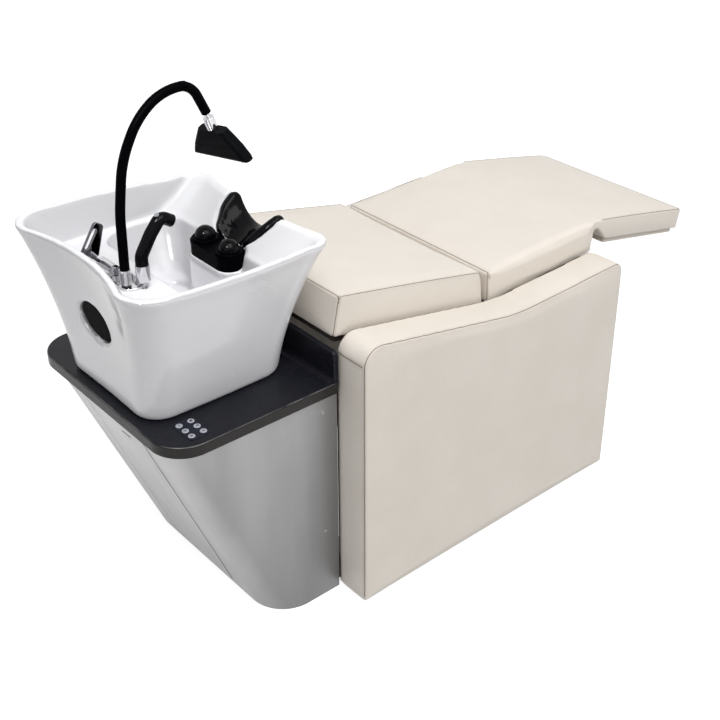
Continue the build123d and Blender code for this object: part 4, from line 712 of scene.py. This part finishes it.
finishes = {
    "cream_upholstery": makeCream(creamSettings),
    "board": makeBoardWood(boardSettings),
    "frame_paint": plain["framePaint"],
    "hinge_steel": plain["hingeSteel"],
    "dark_plastic": plain["darkPlastic"],
    "silver_panel": makePanelSteel(cabinetSettings),
    "graphite_tray": makeTrayFinish(traySettings),
    "white_glaze": makeGlaze(glazeSettings),
    "chrome": plain["polishedChrome"],
    "black_rubber": plain["blackRubber"],
    "black_gloss": plain["blackGloss"],
    "grey_button": plain["greyButton"],
    "white_plastic": plain["whitePlastic"],
    "steel_braid": makeBraid(braidSettings),
}
ownFinishes = {
    # the lever's chrome is painted dark for its dark reflections
    "tap_lever": plain["chromeDarkReflection"],
    "spray_head": plain["sprayShell"],
    "keypad_plate": plain["keypadGlass"],
    "panel_boards": finishes["cream_upholstery"],
    "leg_board": makeWrap(creamSettings),
}
for name, node in nodes.items():
    for slot in node.material_slots:
        key = slot.material.name.split(".")[0]
        slot.material = ownFinishes.get(name, finishes[key])
for piece in hoses:
    piece.data.materials.append(finishes["steel_braid"])
print("materials made")


# cushions

cushionSettings = {
    "voxel": 0.0056,
    "panelVoxel": 0.0074,
    "shrink": 0.0024,
    "pressure": 4.0,
    "frames": 20,
    "cap": 0.0036,
    "pinReach": 0.0058,
    "seamInset": 0.0034,
    "grooveDepth": 0.0012,
    "grooveReach": 0.0055,
    "shadeReach": 0.012,
    "seamRadius": 0.00085,
    "seamLift": 0.3,
    "seamSides": 4,
    "seamStep": 0.004,
    "seamRounds": 4,
    "stitchStep": 0.0070,
    "stitchLength": 0.0044,
    "stitchRadius": 0.00055,
    "stitchGap": 0.0046,
    "cornerReach": 0.017,
    "cornerY": 0.283,
    "pipingInset": 0.0065,
    "topBand": 0.022,
    "restTurn": -0.7,
    "shortestSeam": 0.02,
    "footClear": 0.012,
    "mergeGap": 1e-5,
    "cutGap": 1e-6,
}


def meshPiece(name, bm, material=None):
    mesh = bpy.data.meshes.new(name)
    bm.to_mesh(mesh)
    bm.free()
    piece = bpy.data.objects.new(name, mesh)
    scene.collection.objects.link(piece)
    if material is not None:
        mesh.materials.append(material)
    mesh.shade_smooth()
    return piece


def bakeShape(piece):
    bpy.context.view_layer.update()
    graph = bpy.context.evaluated_depsgraph_get()
    mesh = bpy.data.meshes.new_from_object(piece.evaluated_get(graph))
    piece.modifiers.clear()
    old = piece.data
    piece.data = mesh
    bpy.data.meshes.remove(old)


def remesh(piece, voxel):
    modifier = piece.modifiers.new("even", "REMESH")
    modifier.mode = "VOXEL"
    modifier.voxel_size = voxel
    modifier.use_smooth_shade = True
    bakeShape(piece)


def verticesWithNormals(mesh):
    return [(v, v.normal.copy()) for v in mesh.vertices]


def padShell(name, sources, extra, voxel, shrink):
    bm = bmesh.new()
    for source in sources:
        bm.from_mesh(nodes[source].data)
    bmesh.ops.remove_doubles(bm, verts=bm.verts, dist=cushionSettings["mergeGap"])
    if extra is not None:
        extra(bm)
    piece = meshPiece(name, bm)
    remesh(piece, voxel)
    for vertex, normal in verticesWithNormals(piece.data):
        vertex.co -= normal * shrink
    return piece


def smoothMesh(piece, rounds, chosen=None):
    bm = bmesh.new()
    bm.from_mesh(piece.data)
    verts = [v for v in bm.verts if chosen is None or chosen(v)]
    for _ in range(rounds):
        bmesh.ops.smooth_vert(bm, verts=verts, factor=0.5, use_axis_x=True, use_axis_y=True,
                              use_axis_z=True)
    bm.to_mesh(piece.data)
    bm.free()
    piece.data.shade_smooth()


def seamTree(paths):
    points = [point for path in paths for point in path]
    tree = KDTree(len(points))
    for count, point in enumerate(points):
        tree.insert(point, count)
    tree.balance()
    return tree


clothSettings = {
    "quality": 3,
    "mass": 0.3,
    "tension_stiffness": 15,
    "compression_stiffness": 15,
    "bending_stiffness": 1.5,
    "use_pressure": True,
    "uniform_pressure_force": cushionSettings["pressure"],
    "vertex_group_mass": "held",
}


def inflate(piece, pinned, paths, s):
    # the seams hold the cover down, and it swells between them
    start = [v.co.copy() for v in piece.data.vertices]
    group = piece.vertex_groups.new(name="held")
    tree = seamTree(paths)
    for vertex in piece.data.vertices:
        weight = 1.0 if tree.find(vertex.co)[2] < s["pinReach"] else pinned(vertex)
        if weight > 0:
            group.add([vertex.index], weight, "REPLACE")
    cloth = piece.modifiers.new("cover", "CLOTH")
    for key, value in clothSettings.items():
        setattr(cloth.settings, key, value)
    cloth.settings.effector_weights.gravity = 0
    cloth.collision_settings.use_collision = False
    cloth.collision_settings.use_self_collision = False
    for number in range(1, s["frames"] + 1):
        scene.frame_set(number)
    bakeShape(piece)
    for vertex, place in zip(piece.data.vertices, start):
        move = vertex.co - place
        if move.length > s["cap"]:
            vertex.co = place + move * (s["cap"] / move.length)
    scene.frame_set(1)


def subdivide(piece):
    modifier = piece.modifiers.new("fine", "SUBSURF")
    modifier.levels = 1
    modifier.render_levels = 1
    bakeShape(piece)


def meshBox(piece):
    places = [v.co for v in piece.data.vertices]
    low = Vector([min(p[k] for p in places) for k in range(3)])
    high = Vector([max(p[k] for p in places) for k in range(3)])
    return low, high


def sectionLines(piece, point, normal, keep):
    # the lines along which a plane cuts the shell, as far as they are kept
    bm = bmesh.new()
    bm.from_mesh(piece.data)
    everything = list(bm.verts) + list(bm.edges) + list(bm.faces)
    cut = bmesh.ops.bisect_plane(bm, geom=everything, dist=cushionSettings["cutGap"], plane_co=point,
                                 plane_no=normal)
    edges = [e for e in cut["geom_cut"] if isinstance(e, bmesh.types.BMEdge)]
    links = {}
    for a, b in [e.verts for e in edges]:
        if keep(a.co) and keep(b.co):
            links.setdefault(a, []).append(b)
            links.setdefault(b, []).append(a)
    lines = []
    seen = set()
    starts = [v for v, others in links.items() if len(others) == 1] + list(links)
    for first in starts:
        if first in seen:
            continue
        line = [first]
        nextOnes = [first]
        while nextOnes:
            seen.add(line[-1])
            nextOnes = [v for v in links[line[-1]] if v not in seen][:1]
            line += nextOnes
        points = [v.co.copy() for v in line]
        if len(line) > 2 and line[0] in links[line[-1]]:
            points.append(points[0].copy())
        if pathLength(points) > cushionSettings["shortestSeam"]:
            lines.append(points)
    bm.free()
    return lines


def sideLines(piece, low, high, s, keep):
    # the seams along the two long edges
    lines = []
    for y in (low.y + s["seamInset"], high.y - s["seamInset"]):
        lines += sectionLines(piece, (0, y, 0), (0, 1, 0), keep)
    return lines


def cornerLines(piece, top, foot, inward, s):
    # the seams that run down the two upright corners at one end of a cushion
    lines = []
    for side in (-1, 1):
        start = Vector((top.x, side * s["cornerY"], top.z))
        end = Vector((foot.x, side * s["cornerY"], foot.z))
        run = (end - start).normalized()
        normal = run.cross(Vector((inward, -side, 0))).normalized()

        def keep(co):
            away = co - start
            return (away - run * away.dot(run)).length < s["cornerReach"]

        lines += sectionLines(piece, start, normal, keep)
    return lines


def evenPoints(points, step):
    result = [points[0].copy()]
    left = step
    for a, b in zip(points, points[1:]):
        span = (b - a).length
        while span > left > 0:
            a = a.lerp(b, left / span)
            result.append(a.copy())
            span = (b - a).length
            left = step
        left -= span
    return result


def smoothLine(points, rounds):
    for _ in range(rounds):
        inner = [(a + b * 2 + c) / 4 for a, b, c in zip(points, points[1:], points[2:])]
        points = [points[0]] + inner + [points[-1]]
    return points


def eased(share):
    share = min(1.0, max(0.0, share))
    return share * share * (3 - 2 * share)


def pressGrooves(mesh, paths, s):
    tree = seamTree(paths)
    attribute = mesh.attributes.new("seamNear", "FLOAT", "POINT")
    values = [0.0] * len(mesh.vertices)
    for vertex, normal in verticesWithNormals(mesh):
        gap = tree.find(vertex.co)[2]
        if gap < s["shadeReach"]:
            values[vertex.index] = (1 - gap / s["shadeReach"]) ** 2
        if gap < s["grooveReach"]:
            vertex.co -= normal * s["grooveDepth"] * eased(1 - gap / s["grooveReach"])
    attribute.data.foreach_set("value", values)
    mesh.update()


def sewSeams(piece, paths, s, stitchSides=()):
    mesh = piece.data
    length = sum(pathLength(path) for path in paths)
    print(piece.name, len(paths), "seams,", round(length, 2), "m")
    pressGrooves(mesh, paths, s)
    surface = BVHTree.FromPolygons([v.co for v in mesh.vertices], [p.vertices for p in mesh.polygons])
    bm = bmesh.new()
    bm.from_mesh(mesh)
    for path in paths:
        onSurface = []
        for point in path:
            place, normal, _, _ = surface.find_nearest(point)
            onSurface.append(place + normal * s["seamRadius"] * s["seamLift"])
        tube, _ = curveMesh("seam", "POLY", onSurface, s["seamRadius"], s["seamSides"])
        before = len(bm.faces)
        bm.from_mesh(tube)
        bm.faces.ensure_lookup_table()
        for face in bm.faces[before:]:
            face.material_index = 1
        bpy.data.meshes.remove(tube)
        for side in stitchSides:
            addStitches(bm, surface, path, side, s)
    mesh.materials.clear()
    for material in (finishes["cream_upholstery"], thread, stitchYarn):
        mesh.materials.append(material)
    bm.to_mesh(mesh)
    bm.free()


def addStitches(bm, surface, path, side, s):
    stops = evenPoints(path, s["stitchStep"])
    for a, b in zip(stops, stops[1:]):
        place, normal, _, _ = surface.find_nearest((a + b) / 2)
        run = (b - a).normalized()
        across = run.cross(normal).normalized()
        beside, lift, _, _ = surface.find_nearest(place + across * side * s["stitchGap"])
        run = (run - lift * run.dot(lift)).normalized()
        turn = Matrix((run, lift.cross(run), lift)).transposed().to_4x4()
        size = Matrix.Diagonal((s["stitchLength"] / 2, s["stitchRadius"], s["stitchRadius"], 1))
        spot = Matrix.Translation(beside + lift * s["stitchRadius"] * s["seamLift"])
        made = bmesh.ops.create_icosphere(bm, subdivisions=1, radius=1, matrix=spot @ turn @ size)
        for face in {face for vertex in made["verts"] for face in vertex.link_faces}:
            face.material_index = 2
            face.smooth = True


def finishPad(piece, sources, body, s, pinned, lines, stitchSides=()):
    paths = [smoothLine(evenPoints(line, s["seamStep"]), s["seamRounds"]) for line in lines]
    inflate(piece, pinned, paths, s)
    subdivide(piece)
    sewSeams(piece, paths, s, stitchSides)
    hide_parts(*sources)
    if body is not None:
        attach(piece, body)


def restsBelow(vertex):
    return 1.0 if vertex.normal.z < cushionSettings["restTurn"] else 0.0


backPadSettings = {
    "top": (22.4, 840.03),
    "foot": (1.24, 734.1),
    "slope": -0.1998,
    "endFace": (0.9805, 0, -0.1961),
    "fill": 0.85,
}


def makeBackPad(s, own):
    piece = padShell("back_pad", ["back_cushion"], None, s["voxel"], s["shrink"])
    low, high = meshBox(piece)
    top = drawn(own["top"][0], 0, own["top"][1])
    foot = drawn(own["foot"][0], 0, own["foot"][1])

    def onTop(co):
        return co.z > top.z - s["topBand"] + (co.x - top.x) * own["slope"]

    lines = sideLines(piece, low, high, s, onTop)
    endFace = Vector(own["endFace"])
    lines += sectionLines(piece, top + endFace * s["pipingInset"], endFace, onTop)
    lines += cornerLines(piece, top, foot, 1, s)
    finishPad(piece, ["back_cushion"], "back", s, restsBelow, lines, (1,))


seatPadSettings = {
    "bridgeLow": (938, -276, 719),
    "bridgeHigh": (984, 276, 749.5),
    "knee": (966, 0, 751.2),
    "kneeClear": 0.012,
    "legSlope": 0.2035,
    "toe": (1355.99, 0, 671.84),
    "toeFoot": (1342.8, 0, 607.2),
    "toeFace": (0.98, 0, -0.1994),
    "rear": (514, 0, 732),
    "rearFoot": (518.01, 0, 640.09),
    "rearInset": 0.011,
    "rearBand": 0.02,
    "blendStart": (948, 0, 740),
    "blendEnd": (984, 0, 740),
    "fill": 0.85,
}


def makeSeatPad(s, own):
    def bridge(bm):
        low = drawn(*own["bridgeLow"])
        high = drawn(*own["bridgeHigh"])
        spot = Matrix.Translation((low + high) / 2) @ Matrix.Diagonal((*(high - low), 1))
        bmesh.ops.create_cube(bm, size=1, matrix=spot)

    sources = ["seat_cushion", "leg_cushion"]
    piece = padShell("seat_and_leg_pad", sources, bridge, s["voxel"], s["shrink"])
    low, high = meshBox(piece)
    knee, toe, rear = [drawn(*own[key]) for key in ("knee", "toe", "rear")]
    toeFace = Vector(own["toeFace"])

    def onLegTop(co):
        ahead = co.x - knee.x
        return ahead > own["kneeClear"] and co.z > knee.z - s["topBand"] - ahead * own["legSlope"]

    def onToe(co):
        return co.z > toe.z - s["topBand"]

    def onRear(co):
        return co.z > rear.z - own["rearBand"]

    lines = sideLines(piece, low, high, s, onLegTop)
    lines += sectionLines(piece, toe - toeFace * s["pipingInset"], toeFace, onToe)
    lines += sectionLines(piece, rear + Vector((own["rearInset"], 0, 0)), (1, 0, 0), onRear)
    lines += cornerLines(piece, rear, drawn(*own["rearFoot"]), 1, s)
    lines += cornerLines(piece, toe, drawn(*own["toeFoot"]), -1, s)
    finishPad(piece, sources, None, s, restsBelow, lines)
    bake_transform(piece)


sidePadSettings = {
    "restTurn": 0.7,
    "footWeight": 0.6,
    "stripHeight": 706,
    "stripSlope": (0.1, 0, 1),
    "fill": 0.9,
}


def makeSidePad(s, own, name, node, sign):
    def held(vertex):
        if -sign * vertex.normal.y > own["restTurn"]:
            return 1.0
        return own["footWeight"] if vertex.normal.z < -own["restTurn"] else 0.0

    def addBoard(bm):
        bm.from_mesh(nodes["panel_boards"].data)
        wrong = [v for v in bm.verts if v.co.y * sign < 0]
        bmesh.ops.delete(bm, geom=wrong, context="VERTS")

    piece = padShell(name, [node], addBoard, s["panelVoxel"], s["shrink"])
    low, high = meshBox(piece)

    def aboveFoot(co):
        return co.z > low.z + s["footClear"]

    def endStrip(co):
        return co.x < low.x + s["footClear"] and low.y + s["seamInset"] < co.y < high.y - s["seamInset"]

    lines = sideLines(piece, low, high, s, aboveFoot)
    strip = Vector((low.x, 0, drawn(0, 0, own["stripHeight"]).z))
    lines += sectionLines(piece, strip, own["stripSlope"], endStrip)
    finishPad(piece, [node, "panel_boards"], "base", s, held, lines)


makeBackPad(cushionSettings, backPadSettings)
print("back pad made")
makeSeatPad(cushionSettings, seatPadSettings)
print("seat and leg pad made")
makeSidePad(cushionSettings, sidePadSettings, "near_side_pad", "near_side_panel", -1)
makeSidePad(cushionSettings, sidePadSettings, "far_side_pad", "far_side_panel", 1)
print("side pads made")


# neck rest

neckSettings = {
    "voxel": 0.0022,
    "shrink": -0.0006,
    "smoothing": 8,
    "bellySmoothing": 4,
    "creaseSpread": (45, 16, 16),
    "creaseSteep": 2.4,
    "creaseDepth": 0.00035,
    "rippleSpread": (60, 40, 90),
    "rippleDepth": 0.0002,
    "wingReach": 0.05,
    "axisHeight": 1.0036,
    "seatRadius": 0.1047,
    "bellyFrom": 0.022,
    "bellyRamp": 0.020,
    "bellyDepth": 0.030,
    "bellyStart": -0.452,
    "bellyEnd": -0.488,
    "fill": 0.9,
}


def stretched(place, spread):
    return Vector([a * b for a, b in zip(place, spread)])


def makeNeckRest(s):
    piece = padShell("neck_pillow", ["neck_rest"], None, s["voxel"], s["shrink"])
    smoothMesh(piece, s["smoothing"])
    # the pillow's belly hangs inside the bowl, in front of the wall that it straddles
    for vertex in piece.data.vertices:
        rise = s["axisHeight"] - vertex.co.z
        reach = math.hypot(vertex.co.y, rise)
        outward = min(1.0, max(0.0, (reach - s["seatRadius"] + s["bellyFrom"]) / s["bellyRamp"]))
        inward = eased((vertex.co.x - s["bellyStart"]) / (s["bellyEnd"] - s["bellyStart"]))
        vertex.co.z -= s["bellyDepth"] * outward * inward * max(0.0, rise / reach)
    smoothMesh(piece, s["bellySmoothing"])
    subdivide(piece)
    low, high = meshBox(piece)
    middle = (low + high) / 2
    for vertex, normal in verticesWithNormals(piece.data):
        # loose creases run out of the hollow towards the two wings
        place = vertex.co - middle
        crease = 1 - abs(noise.noise(stretched(place, s["creaseSpread"]))) * s["creaseSteep"]
        crease = max(0.0, crease) ** 3
        ripple = noise.noise(stretched(place, s["rippleSpread"]))
        wing = min(1.0, abs(place.y) / s["wingReach"])
        vertex.co += normal * (ripple * s["rippleDepth"] - crease * s["creaseDepth"] * wing)
    smoothMesh(piece, 1)
    piece.data.materials.append(finishes["black_gloss"])
    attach(piece, "base")
    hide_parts("neck_rest")


makeNeckRest(neckSettings)
print("neck pillow made")


# basin

basinSettings = {
    "voxel": 0.0046,
    "smoothing": 6,
    "cornerLow": (-0.93, 0.095, 0.68),
    "cornerHigh": (-0.80, 0.275, 0.925),
    "cornerRounds": 26,
    "cornerTurn": 0.5,
}


def makeBasin(s):
    piece = padShell("glazed_basin", ["basin"], None, s["voxel"], 0.0)
    smoothMesh(piece, s["smoothing"])

    def inCorner(v):
        # the two corners beside the grip hole are fettled rounder
        spot = (v.co.x, abs(v.co.y), v.co.z)
        inside = all(a < value < b for a, value, b in zip(s["cornerLow"], spot, s["cornerHigh"]))
        return inside and abs(v.normal.z) < s["cornerTurn"]

    smoothMesh(piece, s["cornerRounds"], inCorner)
    piece.data.materials.clear()
    piece.data.materials.append(finishes["white_glaze"])
    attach(piece, "base")
    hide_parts("basin")


makeBasin(basinSettings)
print("basin made")


# signs on the keypad

markSettings = {"height": 0.3, "sunk": 0.2, "bevel": 0.12, "arrowHalf": 3.4}


def arrow(direction, foot, tip):
    half = markSettings["arrowHalf"]
    return [(foot * direction, -half), (foot * direction, half), (tip * direction, 0)]


def bar(start, end, half):
    return [(start, -half), (end, -half), (end, half), (start, half)]


markShapes = {
    "back_up_button": [arrow(1, -1.0, 4.4), bar(-3.6, -2.4, 3.6)],
    "back_down_button": [arrow(-1, -1.0, 4.4), bar(2.4, 3.6, 3.6)],
    "leg_up_button": [arrow(1, -1.0, 4.4), bar(-2.6, -1.8, 3.6), bar(-4.3, -3.5, 3.6)],
    "leg_down_button": [arrow(-1, -1.0, 4.4), bar(1.8, 2.6, 3.6), bar(3.5, 4.3, 3.6)],
    "flat_button": [bar(-0.9, 0.9, 5.0)],
    "stop_button": [bar(-3.2, 3.2, 3.2)],
}


def makeMark(button, shapes, s):
    low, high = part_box(button)
    middle = (Vector(low) + Vector(high)) / 2
    bm = bmesh.new()
    for shape in shapes:
        lower, upper = [
            [bm.verts.new((middle.x + u * mm, middle.y + v * mm, high[2] + lift * mm)) for u, v in shape]
            for lift in (-s["sunk"], s["height"])
        ]
        bm.faces.new(upper)
        bm.faces.new(list(reversed(lower)))
        count = len(shape)
        for k in range(count):
            bm.faces.new((lower[k], lower[(k + 1) % count], upper[(k + 1) % count], upper[k]))
    bmesh.ops.recalc_face_normals(bm, faces=bm.faces)
    edges = [e for e in bm.edges if all(v.co.z > high[2] for v in e.verts)]
    bmesh.ops.bevel(bm, geom=edges, offset=s["bevel"] * mm, segments=1, affect="EDGES")
    piece = meshPiece(button + "_sign", bm, plain["markInk"])
    piece.data.shade_flat()
    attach(piece, button)


for button, shapes in markShapes.items():
    makeMark(button, shapes, markSettings)
print("keypad signs made")


# spray nozzles

nozzleSettings = {
    "columns": 13,
    "rows": 2,
    "pitch": 11.4,
    "rowPitch": 9.0,
    "radius": 1.5,
    "taper": 0.6,
    "height": 1.6,
    "lift": 0.3,
    "sides": 8,
    "downTurn": -0.85,
    "ahead": 0.05,
    "reach": 0.1,
    "flatTurn": 0.8,
}


def makeNozzles(s):
    mesh = nodes["spray_head"].data
    faces = [face for face in mesh.polygons if face.normal.z < s["downTurn"]]
    area = sum(face.area for face in faces)
    centre = sum((face.center * face.area for face in faces), Vector()) / area
    normal = sum((face.normal * face.area for face in faces), Vector()).normalized()
    along = Vector((0, 1, 0))
    along = (along - normal * along.dot(normal)).normalized()
    across = normal.cross(along)
    turn = normal.to_track_quat("Z", "Y").to_matrix().to_4x4()
    surface = BVHTree.FromPolygons([v.co for v in mesh.vertices], [p.vertices for p in mesh.polygons])
    bm = bmesh.new()
    for column in range(s["columns"]):
        for row in range(s["rows"]):
            u = (column - (s["columns"] - 1) / 2) * s["pitch"] * mm
            v = (row - (s["rows"] - 1) / 2) * s["rowPitch"] * mm
            start = centre + along * u + across * v + normal * s["ahead"]
            hit, hitNormal, _, _ = surface.ray_cast(start, -normal, s["reach"])
            if hit is None or hitNormal.dot(normal) < s["flatTurn"]:
                continue
            spot = Matrix.Translation(hit + normal * s["height"] * mm * s["lift"]) @ turn
            bmesh.ops.create_cone(bm, cap_ends=True, segments=s["sides"], radius1=s["radius"] * mm,
                                  radius2=s["radius"] * mm * s["taper"], depth=s["height"] * mm, matrix=spot)
    piece = meshPiece("spray_nozzles", bm, plain["darkPlastic"])
    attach(piece, "spray")


makeNozzles(nozzleSettings)
print("spray nozzles made")


# floor, backdrop and light

stageSettings = {
    "size": 60.0,
    "colour": (0.43, 0.43, 0.43, 1),
    "seenColour": (0.42, 0.42, 0.42, 1),
    "lift": 0.84,
    "worldLight": 0.46,
}
lampSettings = {
    "key": {"place": (-0.70, -3.1, 5.9), "aim": (0.0, 0.0, 0.6), "size": 4.6, "power": 330.0,
            "lights": True},
    "glint": {"place": (-2.7, -1.3, 3.5), "aim": (-0.5, 0.0, 0.95), "size": 0.75, "power": 110.0,
              "lights": False},
}


def cameraMask(tree):
    path = addNode(tree, "LightPath").outputs
    seen = mathNode(tree, "MAXIMUM", path["Is Camera Ray"], path["Is Glossy Ray"])
    return mathNode(tree, "MAXIMUM", seen, path["Is Transmission Ray"])


def makeFloor(s):
    bm = bmesh.new()
    bmesh.ops.create_grid(bm, x_segments=1, y_segments=1, size=s["size"] / 2)
    material = bpy.data.materials.new("paleFloor")
    material.use_nodes = True
    tree = material.node_tree
    tree.nodes.clear()
    plainCoat = addNode(tree, "BsdfDiffuse", {"Color": s["colour"]}).outputs[0]
    seen = addNode(tree, "BsdfDiffuse", {"Color": s["seenColour"]}).outputs[0]
    lift = addNode(tree, "Emission", {"Strength": s["lift"]}).outputs[0]
    both = addNode(tree, "AddShader", {0: seen, 1: lift}).outputs[0]
    mix = addNode(tree, "MixShader", {0: cameraMask(tree), 1: plainCoat, 2: both})
    wire(tree, mix.outputs[0], addNode(tree, "OutputMaterial").inputs["Surface"])
    meshPiece("floor", bm, material)


def makeWorld(s):
    world = bpy.data.worlds.new("studio")
    scene.world = world
    world.use_nodes = True
    tree = world.node_tree
    tree.nodes.clear()
    light, backdrop = [
        addNode(tree, "Background", {"Color": (1, 1, 1, 1), "Strength": strength}).outputs[0]
        for strength in (s["worldLight"], 1.0)
    ]
    mix = addNode(tree, "MixShader", {0: cameraMask(tree), 1: light, 2: backdrop})
    wire(tree, mix.outputs[0], addNode(tree, "OutputWorld").inputs["Surface"])


def makeSoftbox(name, s):
    data = bpy.data.lights.new(name, "AREA")
    data.shape = "SQUARE"
    data.size = s["size"]
    data.energy = s["power"]
    lamp = bpy.data.objects.new(name, data)
    scene.collection.objects.link(lamp)
    look = (Vector(s["aim"]) - Vector(s["place"])).to_track_quat("-Z", "Y")
    lamp.matrix_world = Matrix.Translation(s["place"]) @ look.to_matrix().to_4x4()
    # a lamp that doesn't light shows only as a highlight on the glossy pieces
    lamp.visible_diffuse = s["lights"]


makeFloor(stageSettings)
makeWorld(stageSettings)
for name, settings in lampSettings.items():
    makeSoftbox(name, settings)
print("stage and light made")

scene.view_settings.view_transform = "Standard"
